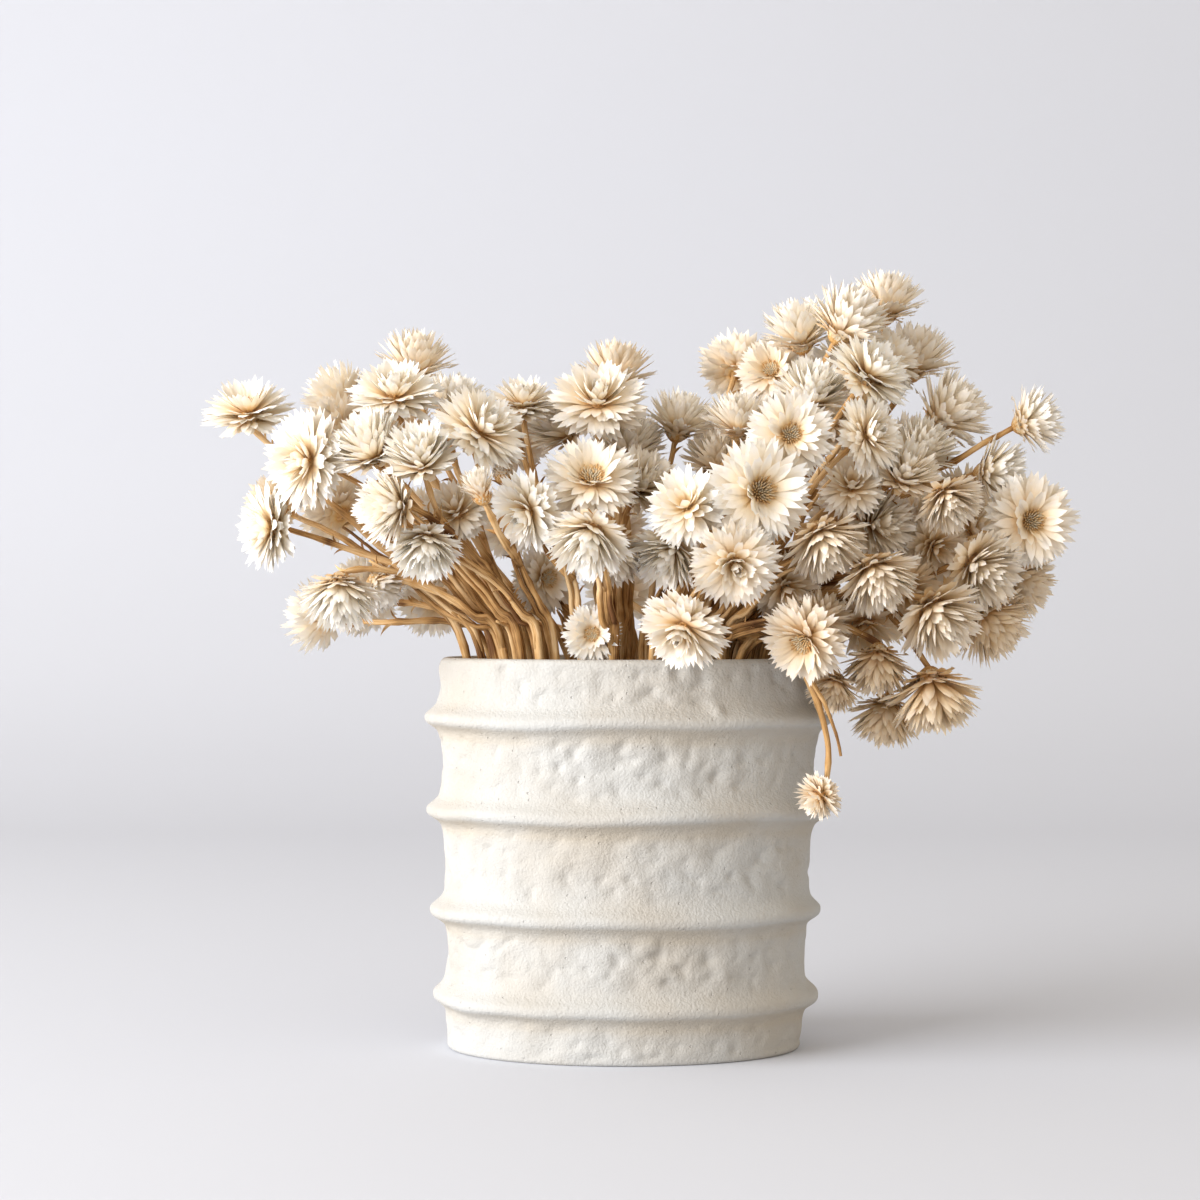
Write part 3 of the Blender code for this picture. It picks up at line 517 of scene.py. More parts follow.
# Heads seen from the front: spray, across and down in the view, depth behind the
# vase's middle, facing (right, towards the viewer, up), width, kind
HEADS = (
    (1, 248, 412, -10, (-1, 4, 8), 42, "open"),
    (2, 395, 396, -30, (0, 5, 8), 43, "open"),
    (3, 415, 360, 32, (1, 1, 8), 38, "cup"),
    (4, 335, 397, 30, (-6, 0, 6), 37, "cup"),
    (5, 310, 460, -45, (-6, 6, 0), 46, "open"),
    (6, 365, 446, -52, (-4, 4, 7), 38, "cup"),
    (7, 420, 456, -70, (-1, 5, 6), 36, "cup"),
    (7, 390, 505, -72, (-8, 4, 0), 36, "cup"),
    (8, 270, 528, -22, (-7, 4, 0), 40, "open"),
    (9, 340, 597, -42, (0, 3, -9), 38, "cup"),
    (9, 382, 589, -8, (4, 0, -4), 26, "cup"),
    (10, 425, 548, -62, (0, 4, -6), 34, "cup"),
    (11, 480, 431, -62, (5, 5, 6), 44, "open"),
    (11, 480, 490, -84, (-2, 2, 6), 15, "bud"),
    (12, 523, 405, 5, (0, 3, 8), 36, "open"),
    (12, 560, 425, 25, (-5, 3, 6), 36, "cup"),
    (13, 600, 405, -5, (0, 6, 6), 46, "open"),
    (14, 616, 370, 50, (1, 0, 9), 38, "cup"),
    (15, 592, 480, -55, (0, 7, 5), 43, "open"),
    (16, 588, 540, -82, (-2, 5, -7), 38, "cup"),
    (16, 616, 556, -50, (2, 2, -7), 34, "cup"),
    (17, 528, 512, -62, (-5, 6, -4), 38, "open"),
    (17, 503, 475, -56, (0, 2, 8), 16, "seed"),
    (18, 632, 441, 8, (2, 2, 7), 37, "cup"),
    (19, 676, 420, 15, (2, 1, 8), 36, "cup"),
    (20, 689, 507, -74, (-2, 7, 3), 38, "ball"),
    (21, 668, 555, -58, (-3, 5, -6), 35, "cup"),
    (22, 683, 628, -94, (-3, 6, -6), 40, "open"),
    (23, 592, 634, -38, (0, 7, 0), 27, "open"),
    (23, 545, 578, -18, (4, 6, 0), 34, "open"),
    (24, 738, 420, -8, (0, 2, 8), 34, "cup"),
    (25, 772, 372, 32, (-2, 8, 3), 34, "open"),
    (26, 790, 435, -62, (1, 9, 1), 40, "open"),
    (25, 815, 390, -20, (1, 4, 7), 36, "cup"),
    (27, 867, 375, -34, (5, 4, 6), 42, "open"),
    (28, 803, 328, 4, (-2, 2, 9), 38, "cup"),
    (28, 844, 321, -4, (5, 2, 8), 42, "cup"),
    (29, 887, 302, 30, (1, 1, 9), 38, "cup"),
    (30, 910, 354, 22, (2, 1, 9), 41, "cup"),
    (31, 868, 438, -50, (6, 6, 2), 36, "open"),
    (32, 950, 412, 2, (7, 2, 5), 43, "cup"),
    (33, 1034, 420, -4, (8, 1, 3), 34, "cup"),
    (31, 905, 470, -40, (2, 5, 6), 34, "cup"),
    (34, 853, 486, -42, (0, 4, 3), 32, "ball"),
    (35, 757, 492, -78, (3, 8, 1), 48, "open"),
    (36, 734, 563, -88, (1, 7, -3), 40, "open"),
    (37, 805, 640, -78, (-4, 6, -4), 40, "open"),
    (37, 821, 616, -50, (3, 2, 6), 30, "ball"),
    (38, 828, 545, -72, (3, 4, -7), 38, "cup"),
    (39, 876, 578, -68, (3, 4, -8), 38, "cup"),
    (40, 950, 502, -46, (3, 4, -6), 32, "cup"),
    (33, 998, 474, -12, (7, 2, 0), 36, "cup"),
    (41, 1029, 521, -28, (2, 9, 0), 44, "open"),
    (42, 936, 548, -22, (2, 4, -2), 35, "ball"),
    (42, 981, 569, -30, (4, 5, -3), 40, "cup"),
    (43, 1022, 584, 0, (7, 3, -4), 36, "cup"),
    (44, 938, 618, -50, (4, 5, -6), 42, "cup"),
    (43, 992, 624, -14, (6, 3, -6), 40, "cup"),
    (45, 933, 696, -36, (1, 3, -9), 44, "cup"),
    (45, 885, 717, -7, (-2, 2, -9), 36, "cup"),
    (46, 836, 688, -40, (-2, 3, -6), 26, "cup"),
    (47, 819, 797, -64, (-6, 3, -5), 24, "ball"),
    (44, 866, 627, -32, (1, 3, -5), 33, "ball"),
    (46, 870, 664, -34, (-1, 2, -8), 34, "cup"),
    (27, 832, 422, 8, (1, 3, 6), 34, "ball"),
    (32, 924, 446, -8, (3, 3, 5), 34, "cup"),
    (36, 786, 588, -40, (1, 5, -3), 34, "ball"),
    (39, 908, 588, -26, (3, 4, -3), 34, "ball"),
    (34, 880, 524, -30, (3, 4, 0), 34, "cup"),
    (41, 972, 530, 6, (5, 3, 1), 34, "ball"),
    (3, 455, 402, 12, (3, 1, 8), 35, "cup"),
    (18, 644, 482, -22, (3, 4, 3), 34, "cup"),
    (10, 456, 512, -48, (-2, 4, 4), 33, "ball"),
    (20, 716, 456, 4, (-1, 3, 7), 32, "cup"),
)
# Heads on the far side, in rows: height, half width, depth, first and last angle
# round the vase, heads in the row, first spray
BACK_ROWS = (
    (228.0, 168.0, 106.0, 14.0, 166.0, 9, 48),
    (276.0, 186.0, 98.0, 12.0, 168.0, 9, 51),
    (317.0, 160.0, 62.0, 20.0, 160.0, 7, 54),
    (352.0, 150.0, 62.0, 22.0, 66.0, 4, 57),
)
# Sprays whose open heads show a bare disc
WIDE_OPEN = frozenset((1, 15, 23, 25, 26, 35, 37, 41))
# Turning points of a few stems: spray, then places across, down and deep
BENDS = {
    24: ((699, 462, -30), (708, 447, -24)),
    33: ((929, 476, -30), (975, 449, -14)),
    47: ((829, 664, -52), (839, 700, -60), (850, 752, -62)),
}


@dataclass
class Bunch:
    """Course of every stem and place of every head, as in the frame."""

    view: View
    vase: "Vase"
    seed: int = 41
    back_wobble: float = 0.05
    back_stray: float = 8.0
    back_level: tuple[float, float] = (190.0, 150.0)
    back_outward: float = 0.25
    back_width: tuple[float, float] = (35.0, 41.0)
    per_back_spray: int = 3
    head_spacing: float = 0.84
    head_ease: tuple[float, float, float] = (0.45, 1.0, 0.35)
    head_home: float = 0.02
    head_rounds: int = 140
    head_step: float = 0.45
    head_lift: float = 0.3
    head_room: float = 0.42
    rib_room: float = 9.5
    well_inside: float = 0.8
    stem_radius: float = 2.5
    clearance: float = 0.9
    mouth_height: float = 206.5
    over_lip: float = 1.0
    gap: float = 0.3
    inside_points: int = 2
    outside_points: int = 5
    low_join: int = 1
    high_join: int = 4
    high_join_span: float = 56.0
    foot_share: float = 0.62
    half: tuple[float, float] = (215.0, 118.0)
    mouth_room: float = 1.5
    wall_room: float = 1.2
    least_share: float = 0.12
    share_power: float = 0.85
    leave_turn: float = 0.35
    leave_share: float = 0.4
    arrive_share: float = 0.42
    arrive_most: float = 34.0
    stem_rounds: int = 90
    stem_smooth: float = 0.12
    stem_home: float = 0.03
    stem_step: float = 3.0
    calm_share: float = 0.7
    near_room: float = 12.0
    near_every: int = 10
    core_keep: float = 0.3
    core_step: float = 0.6
    far_out: float = 1000.0

    def lay_out(self) -> tuple[list[Head], np.ndarray, list]:
        """Settle the bunch.

        Returns:
            The heads, the course of each one's stem, and for a side stalk the
            stem and point that it leaves, or None.
        """
        heads = self.list_heads()
        self.spread_heads(heads)
        paths, order = self.first_paths(heads)
        joins = self.plan_joins(heads, order)
        return heads, self.part_stems(paths, heads, joins), joins

    def list_heads(self) -> list[Head]:
        """Every head seen from the front, then those of the far side by rule.

        Returns:
            The heads, not yet moved apart.
        """
        heads = []
        for spray, across, down, depth, facing, width, kind in HEADS:
            axis = unit(np.array((facing[0], -facing[1], facing[2]), dtype=float))
            place = self.view.place(across, down, depth)
            heads.append(Head(spray, place, axis, float(width), Kind(kind)))
        chance = np.random.default_rng(self.seed)
        for height, reach, depth, first, last, count, spray in BACK_ROWS:
            level, span = self.back_level
            for index in range(count):
                share = index / max(1, count - 1)
                angle = math.radians(first + (last - first) * share)
                angle += chance.uniform(-self.back_wobble, self.back_wobble)
                stray = chance.uniform(-self.back_stray, self.back_stray)
                place = np.array((reach * math.cos(angle), depth * math.sin(angle),
                                  height + stray))
                axis = unit(np.array((math.cos(angle), math.sin(angle) + self.back_outward,
                                      (height - level) / span)))
                kind = (Kind.OPEN, Kind.CUP, Kind.BALL)[int(chance.integers(0, 3))]
                width = chance.uniform(*self.back_width)
                heads.append(Head(spray + index // self.per_back_spray, place, axis, width, kind))
        return heads

    def spread_heads(self, heads: list[Head]) -> None:
        """Move the heads apart, mostly in depth, and off the vase.

        Args:
            heads: the heads, whose middles are moved.
        """
        middles = np.array([head.middle for head in heads])
        sizes = np.array([head.width for head in heads])
        home = middles.copy()
        pairs = np.triu_indices(len(heads), 1)
        need = self.head_spacing * (sizes[pairs[0]] + sizes[pairs[1]]) / 2.0
        ease = np.array(self.head_ease)
        for _ in range(self.head_rounds):
            gap = middles[pairs[0]] - middles[pairs[1]]
            gap[:, 1] += 1e-3
            short = np.maximum(0.0, need - np.linalg.norm(gap, axis=1))
            push = unit(gap * ease) * (short * self.head_step)[:, None] * ease
            np.add.at(middles, pairs[0], push)
            np.add.at(middles, pairs[1], -push)
            middles += (home - middles) * self.head_home
            for index, middle in enumerate(middles):
                if middle[2] < self.mouth_height + self.head_lift * sizes[index]:
                    self.keep_off_vase(middle, home[index], self.head_room * sizes[index])
        for head, middle in zip(heads, middles):
            head.middle = middle.copy()

    def keep_off_vase(self, point: np.ndarray, home: np.ndarray, room: float) -> None:
        """Slide a point that is beside or over the vase's wall clear of it.

        Args:
            point: the point, which is changed.
            home: where it stood first; one well inside the mouth is left alone.
            room: distance kept from the ribs.
        """
        wide, deep = self.vase.reach(point[2], self.rib_room)
        if (home[0] / wide) ** 2 + (home[1] / deep) ** 2 < self.well_inside:
            return
        off = (point[0] / (wide + room)) ** 2 + (point[1] / (deep + room)) ** 2
        if off < 1.0:
            point[:2] /= math.sqrt(off)

    def first_paths(self, heads: list[Head]) -> tuple[np.ndarray, dict]:
        """Starting course of each stem, from its foot to its head.

        Args:
            heads: the settled heads.

        Returns:
            The courses, and the heads of each spray in order.
        """
        paths, seen = [], {}
        room = self.vase.wall + self.stem_radius + self.mouth_room
        wide, deep = self.vase.reach(self.vase.height, -room)
        steps = range(self.inside_points + 1)
        for index, head in enumerate(heads):
            order = seen.setdefault(head.spray, [])
            bends = [] if order else [self.view.place(*bend) for bend in BENDS.get(head.spray, ())]
            order.append(index)
            base = head.base
            aim = bends[0] if bends else base
            level = np.hypot(aim[0] / self.half[0], aim[1] / self.half[1])
            share = min(1.0, max(self.least_share, level) ** self.share_power)
            turn = math.atan2(aim[1] / self.half[1], aim[0] / self.half[0])
            mouth = np.array((wide * share * math.cos(turn), deep * share * math.sin(turn), 0.0))
            foot = mouth * self.foot_share
            foot[2] = self.vase.floor_top + self.gap
            mouth[2] = self.mouth_height
            lower = [foot + (mouth - foot) * step / self.inside_points for step in steps]
            reach = np.linalg.norm(aim - mouth)
            leave = unit(unit(mouth - foot) + self.leave_turn * unit(aim - mouth))
            arrive = head.axis * min(self.arrive_most, self.arrive_share * reach)
            corners = [mouth, mouth + leave * self.leave_share * reach]
            corners += bends + [base - arrive, base]
            paths.append(np.array(lower + sample_curve(corners, self.outside_points)[1:]))
        return np.array(paths), seen

    def plan_joins(self, heads: list[Head], seen: dict) -> list:
        """Choose where the side stalks leave.

        Args:
            heads: the settled heads.
            seen: the heads of each spray in order.

        Returns:
            For each head the stem and the point of it that its stalk leaves, or None.
        """
        joins = [None] * len(heads)
        for order in seen.values():
            for index in order[1:]:
                apart = np.linalg.norm(heads[index].base - heads[order[0]].base)
                node = self.high_join if apart < self.high_join_span else self.low_join
                joins[index] = (order[0], node)
        return joins

    def part_stems(self, paths: np.ndarray, heads: list[Head], joins: list) -> np.ndarray:
        """Push the stems apart, off the heads and inside the mouth of the vase.

        Args:
            paths: starting course of each stem.
            heads: the settled heads.
            joins: where the side stalks leave.

        Returns:
            The settled courses.
        """
        count, points, _ = paths.shape
        home = paths.copy()
        sprays = np.array([head.spray for head in heads])
        owner = np.repeat(np.arange(count), points - 1)
        piece = np.tile(np.arange(points - 1), count)
        left, right = np.triu_indices(len(owner), 1)
        apart = sprays[owner[left]] != sprays[owner[right]]
        start_at = np.array([join[1] if join else 0 for join in joins])
        real = (piece[left] >= start_at[owner[left]]) & (piece[right] >= start_at[owner[right]])
        left, right = left[apart & real], right[apart & real]
        for turn in range(self.stem_rounds):
            if turn % self.near_every == 0:
                start, end = paths[owner, piece], paths[owner, piece + 1]
                close = np.linalg.norm((start + end)[left] / 2 - (start + end)[right] / 2, axis=1)
                length = np.linalg.norm(end - start, axis=1)
                near = close < (length[left] + length[right]) / 2 + self.near_room
                one, two = left[near], right[near]
            shift = self.stem_push(paths, owner, piece, one, two)
            shift += self.head_push(paths, heads)
            calm = max(0.0, 1.0 - turn / (self.calm_share * self.stem_rounds))
            shift[:, -1] = 0.0
            shift[:, 0, 2] = 0.0
            paths = paths + np.clip(shift, -self.stem_step, self.stem_step)
            middle = (paths[:, :-2] + paths[:, 2:]) / 2.0
            paths[:, 1:-1] += (middle - paths[:, 1:-1]) * self.stem_smooth * calm
            paths[:, 1:-1] += (home[:, 1:-1] - paths[:, 1:-1]) * self.stem_home * calm
            paths[:, 0, 2] = self.vase.floor_top + self.gap
            paths[:, self.inside_points, 2] = self.mouth_height
            self.keep_in_mouth(paths)
            for index, join in enumerate(joins):
                if join:
                    paths[index, : join[1] + 1] = paths[join[0], : join[1] + 1]
        return paths

    def stem_push(self, paths: np.ndarray, owner: np.ndarray, piece: np.ndarray,
                  one: np.ndarray, two: np.ndarray) -> np.ndarray:
        """Shift that parts the stems that run too close.

        Args:
            paths: courses of the stems.
            owner: stem of each straight piece.
            piece: place of each straight piece along its stem.
            one: first straight piece of each near pair.
            two: second straight piece of each near pair.

        Returns:
            A shift for every point of every course.
        """
        need = 2.0 * self.stem_radius + self.clearance
        start, end = paths[owner, piece], paths[owner, piece + 1]
        s, t, between = nearest(start[one], end[one], start[two], end[two])
        size = np.linalg.norm(between, axis=1)
        side = np.cross((end - start)[one], (end - start)[two])
        way = np.where((size > 0.05)[:, None], between, side)
        push = unit(way) * (np.maximum(0.0, need - size) * 0.5)[:, None]
        shift = np.zeros_like(paths)
        for who, where, sign in ((one, s, 1.0), (two, t, -1.0)):
            np.add.at(shift, (owner[who], piece[who]), push * (sign * (1.0 - where))[:, None])
            np.add.at(shift, (owner[who], piece[who] + 1), push * (sign * where)[:, None])
        return shift

    def head_push(self, paths: np.ndarray, heads: list[Head]) -> np.ndarray:
        """Shift that keeps every stem off the middles of other heads.

        Args:
            paths: courses of the stems.
            heads: the settled heads.

        Returns:
            A shift for every point of every course.
        """
        shift = np.zeros_like(paths)
        start, end = paths[:, :-1], paths[:, 1:]
        run = end - start
        span = np.maximum((run * run).sum(-1), 1e-6)
        for index, head in enumerate(heads):
            share = ((head.middle - start) * run).sum(-1) / span
            share = np.clip(share, 0.0, 1.0)[:, :, None]
            toward = start + run * share - head.middle
            size = np.linalg.norm(toward, axis=2)
            lack = np.maximum(0.0, self.core_keep * head.width + self.stem_radius - size)
            lack[index] = 0.0
            push = unit(toward) * (lack * self.core_step)[:, :, None]
            shift[:, :-1] += push * (1.0 - share)
            shift[:, 1:] += push * share
        return shift

    def keep_in_mouth(self, paths: np.ndarray) -> None:
        """Hold the lower points of the stems inside the vase, the others off it.

        Args:
            paths: courses of the stems, which are changed.
        """
        room = self.vase.wall + self.stem_radius + self.wall_room
        for level in range(self.inside_points + 1):
            height = min(self.vase.height, float(paths[:, level, 2].mean()))
            wide, deep = self.vase.reach(height, -room)
            lean = self.vase.lean * height / self.vase.height
            x = paths[:, level, 0] - lean
            y = paths[:, level, 1]
            scale = 1.0 / np.maximum(1.0, np.sqrt((x / wide) ** 2 + (y / deep) ** 2))
            paths[:, level, 0] = lean + x * scale
            paths[:, level, 1] = y * scale
        for path in paths:
            for point in path[self.inside_points + 1 :]:
                if point[2] < self.mouth_height + self.over_lip:
                    self.keep_off_vase(point, point + self.far_out, self.stem_radius)


def sample_curve(corners: list[np.ndarray], count: int) -> list[np.ndarray]:
    """Points at even steps on the smooth curve that the corners pull.

    Args:
        corners: the pulling points, first and last on the curve.
        count: number of steps.

    Returns:
        One point more than there are steps.
    """
    pulls = np.array(corners)
    fine = 40
    line = []
    for step in range(fine + 1):
        pull = pulls.copy()
        while len(pull) > 1:
            pull = pull[:-1] + (pull[1:] - pull[:-1]) * (step / fine)
        line.append(pull[0])
    dense = np.array(line)
    run = run_of(dense)
    at = np.linspace(0.0, run[-1], count + 1)
    return [np.array([np.interp(v, run, dense[:, k]) for k in range(3)]) for v in at]


def run_of(line: np.ndarray) -> np.ndarray:
    """Distance along a line of each of its points."""
    return np.concatenate(((0.0,), np.cumsum(np.linalg.norm(np.diff(line, axis=0), axis=1))))


def nearest(start: np.ndarray, end: np.ndarray, other_start: np.ndarray,
            other_end: np.ndarray) -> tuple[np.ndarray, np.ndarray, np.ndarray]:
    """Where two sets of straight pieces come nearest.

    Args:
        start: first ends of the first set.
        end: last ends of the first set.
        other_start: first ends of the second set.
        other_end: last ends of the second set.

    Returns:
        The share along each piece of both sets, and the gap between those points.
    """
    run = end - start
    other = other_end - other_start
    gap = start - other_start
    a = np.maximum((run * run).sum(-1), 1e-9)
    e = np.maximum((other * other).sum(-1), 1e-9)
    b = (run * other).sum(-1)
    c = (run * gap).sum(-1)
    f = (other * gap).sum(-1)
    span = a * e - b * b
    s = np.where(span > 1e-6, (b * f - c * e) / np.where(span > 1e-6, span, 1.0), 0.5)
    s = np.clip(s, 0.0, 1.0)
    t = np.clip((b * s + f) / e, 0.0, 1.0)
    s = np.clip((b * t - c) / a, 0.0, 1.0)
    between = (start + run * s[..., None]) - (other_start + other * t[..., None])
    return s, t, between


def finish_piece(name: str, bm: bmesh.types.BMesh, material: bpy.types.Material,
                 nodes: tuple[str, ...]) -> bpy.types.Object:
    """Turn a bmesh in millimetres into a dressed piece of the vase of flowers.

    Args:
        name: the piece's name.
        bm: its mesh, which is freed.
        material: its finish.
        nodes: the frame's nodes that the piece stands for.

    Returns:
        The piece, riding on the frame.
    """
    bmesh.ops.scale(bm, vec=(MM, MM, MM), verts=bm.verts)
    mesh = keep_mesh(name, bm)
    mesh.materials.append(material)
    mesh.polygons.foreach_set("use_smooth", [True] * len(mesh.polygons))
    piece = bpy.data.objects.new(name, mesh)
    bpy.context.scene.collection.objects.link(piece)
    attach(piece, "root")
    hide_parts(*nodes)
    log.info("%s: %d faces", name, len(mesh.polygons))
    return piece


@dataclass
class Vase:
    """Hollow oval vase with four rolled ribs, hammered bands and a thin lip."""

    height: float = 201.5
    lean: float = 3.6
    depth_ratio: float = 0.72
    wall: float = 6.0
    floor_top: float = 9.0
    sides: int = 350
    row_step: float = 1.05
    underside: float = 30.0
    foot_round: float = 2.2
    foot_steps: int = 4
    lip_steps: int = 8
    inside_rows: int = 14
    inside_ends: tuple[float, float] = (6.0, 7.0)
    floor_bend: tuple[float, float] = (2.0, 7.0)
    rib_up: tuple[float, float] = (5.4, 2.7)
    rib_down: tuple[float, float] = (4.8, 3.3)
    rib_reach: float = 22.0
    rib_waves: float = 2.2
    rib_stray: float = 1.6
    rib_swell: float = 0.2
    lip_round: float = 2.9
    dent_depth: float = 1.8
    dent_mm: float = 14.0
    dent_parts: tuple = ((1.0, 0.9, (0.0, 0.0, 0.0)), (0.46, 0.34, (9.0, 2.0, 5.0)),
                         (0.24, 0.12, (1.0, 8.0, 3.0)))
    dent_bare: float = 2.4
    dent_fade: tuple[float, float] = (4.0, 5.0)
    patch_mm: float = 50.0
    patch_even: float = 0.85
    patch_swing: float = 0.6
    patch_least: float = 0.2
    pit_from: float = 0.2
    pit_depth: float = 1.5
    ripple_depth: float = 0.6
    ripple_mm: float = 42.0
    # Painted shade under each rib: how far below the rib it reaches, and how dark it gets.
    rib_shade_reach: float = 5.0
    rib_shade_gain: float = 0.32
    pellet: tuple[float, float] = (41.0, 176.6)
    pellet_size: float = 3.0
    pellet_rise: float = 2.4
    body: tuple = ((0.0, 91.2), (27.0, 91.8), (71.7, 93.0), (123.3, 95.4), (170.4, 97.6),
                   (201.5, 98.2))
    ribs: tuple = ((27.1, 7.9), (71.7, 8.4), (123.3, 8.8), (170.4, 8.3))

    def reach(self, height: float, extra: float) -> tuple[float, float]:
        """Half width and half depth of the wall at a height, moved out by extra."""
        half = self.half(height)
        return half + extra, half * self.depth_ratio + extra

    def half(self, height: float) -> float:
        """Half width of the plain wall at a height."""
        return float(np.interp(height, *zip(*self.body)))

    def rib_rise(self, height: float, ring: Vector) -> float:
        """How far the ribs, each a little uneven round the vase, stand out.

        Args:
            height: height above the foot.
            ring: unit direction from the vase's middle line.

        Returns:
            Distance out from the plain wall.
        """
        rise = 0.0
        for level, out in self.ribs:
            if abs(height - level) > self.rib_reach - self.rib_stray:
                continue
            spot = ring * self.rib_waves + Vector((0.0, 0.0, level))
            off = height - level - self.rib_stray * noise.noise(spot)
            width, power = self.rib_up if off > 0.0 else self.rib_down
            tail = 1.0 / (1.0 + (self.rib_reach / width) ** power)
            arch = 1.0 / (1.0 + (abs(off) / width) ** power)
            swell = 1.0 + self.rib_swell * noise.noise(spot + Vector((5.0, 5.0, 0.0)))
            rise += out * swell * max(0.0, arch - tail) / (1.0 - tail)
        return rise

    def profile(self) -> list[tuple[float, float]]:
        """Rows of the wall, from the middle of the underside round to the floor inside.

        Returns:
            Distance out from the plain wall, and height, of each row.
        """
        rows = [(-self.underside, 0.0), (-self.foot_round, 0.0)]
        for step in range(1, self.foot_steps + 1):
            turn = math.pi / 2.0 * step / self.foot_steps
            rows.append((-self.foot_round * (1.0 - math.sin(turn)),
                         self.foot_round * (1.0 - math.cos(turn))))
        top = self.height - self.lip_round
        count = round((top - self.foot_round) / self.row_step)
        for step in range(1, count + 1):
            rows.append((0.0, self.foot_round + (top - self.foot_round) * step / count))
        for step in range(1, self.lip_steps + 1):
            turn = math.pi * step / self.lip_steps
            rows.append((-self.wall / 2.0 * (1.0 - math.cos(turn)),
                         top + self.lip_round * math.sin(turn)))
        high, low = top - self.inside_ends[0], self.floor_top + self.inside_ends[1]
        for height in np.linspace(high, low, self.inside_rows):
            rows.append((-self.wall, float(height)))
        near, far = self.floor_bend
        return rows + [(-self.wall - near, self.floor_top + near),
                       (-self.wall - far, self.floor_top)]

    def build(self, material: bpy.types.Material) -> bpy.types.Object:
        """Spin the wall, press it oval and lay the ribs and hammer marks on it.

        Args:
            material: the vase's finish.

        Returns:
            The vase.
        """
        bm = bmesh.new()
        corners = [bm.verts.new((self.half(height) + out, 0.0, height))
                   for out, height in self.profile()]
        edges = [bm.edges.new(pair) for pair in zip(corners, corners[1:])]
        bmesh.ops.spin(bm, geom=corners + edges, axis=(0.0, 0.0, 1.0), cent=(0.0, 0.0, 0.0),
                       dvec=(0.0, 0.0, 0.0), angle=2.0 * math.pi, steps=self.sides,
                       use_merge=True)
        bmesh.ops.remove_doubles(bm, verts=bm.verts, dist=0.01)
        rims = [edge for edge in bm.edges if edge.is_boundary]
        bmesh.ops.contextual_create(bm, geom=[e for e in rims if e.verts[0].co.z < 1.0])
        bmesh.ops.contextual_create(bm, geom=[e for e in rims if e.verts[0].co.z > 1.0])
        bmesh.ops.recalc_face_normals(bm, faces=bm.faces)
        rib_shade = bm.verts.layers.float.new("rib_shade")
        for vert in bm.verts:
            self.press(vert, rib_shade)
        return finish_piece("ribbed_vase", bm, material, ("vase",))

    def press(self, vert: bmesh.types.BMVert, rib_shade: bmesh.types.BMLayerItem) -> None:
        """Bring one corner of the round wall to its place on the real one.

        Args:
            vert: the corner, which is moved.
            rib_shade: layer that takes how much painted shade the wall gets there, under a rib.
        """
        x, y, height = vert.co
        turn = math.atan2(y, x)
        half = self.half(height)
        extra = math.hypot(x, y) - half
        if extra > -0.5 * self.wall and self.foot_round < height:
            ring = Vector((math.cos(turn), math.sin(turn), 0.0))
            spot = Vector((ring.x * half, ring.y * half * self.depth_ratio, height))
            rise = self.rib_rise(height, ring)
            # Painted shade: darker just below a rib, as far as the rib above overhangs this spot.
            under = max(self.rib_rise(height + self.rib_shade_reach, ring) - rise, 0.0)
            vert[rib_shade] = min(1.0, under * self.rib_shade_gain)
            bare = max(0.0, 1.0 - rise / self.dent_bare)
            low, high = self.dent_fade
            fade = max(0.0, min(1.0, (height - self.foot_round) / low,
                                (self.height - height) / high))
            extra += rise
            extra += self.hammer(spot) * bare * fade
            extra += self.ripple_depth * noise.noise(spot / self.ripple_mm) * fade
            if y < 0.0:
                off = math.hypot(spot.x - self.pellet[0], spot.z - self.pellet[1])
                extra += self.pellet_rise * math.exp(-((off / self.pellet_size) ** 2))
        vert.co.x = self.lean * height / self.height + (half + extra) * math.cos(turn)
        vert.co.y = (half * self.depth_ratio + extra) * math.sin(turn)

    def hammer(self, spot: Vector) -> float:
        """Depth of the dents and lumps that the maker's fingers left in the bands.

        Args:
            spot: place on the plain wall.

        Returns:
            Distance out from the plain wall, negative in a dent.
        """
        marks = [(noise.noise(spot / (self.dent_mm * size) + Vector(shift)), weight)
                 for size, weight, shift in self.dent_parts]
        patch = self.patch_even + self.patch_swing * noise.noise(
            spot / self.patch_mm + Vector((2.0, 7.0, 1.0)))
        pit = -max(0.0, -marks[1][0] - self.pit_from) * self.pit_depth
        relief = sum(mark * weight for mark, weight in marks) + pit
        return self.dent_depth * max(self.patch_least, patch) * relief


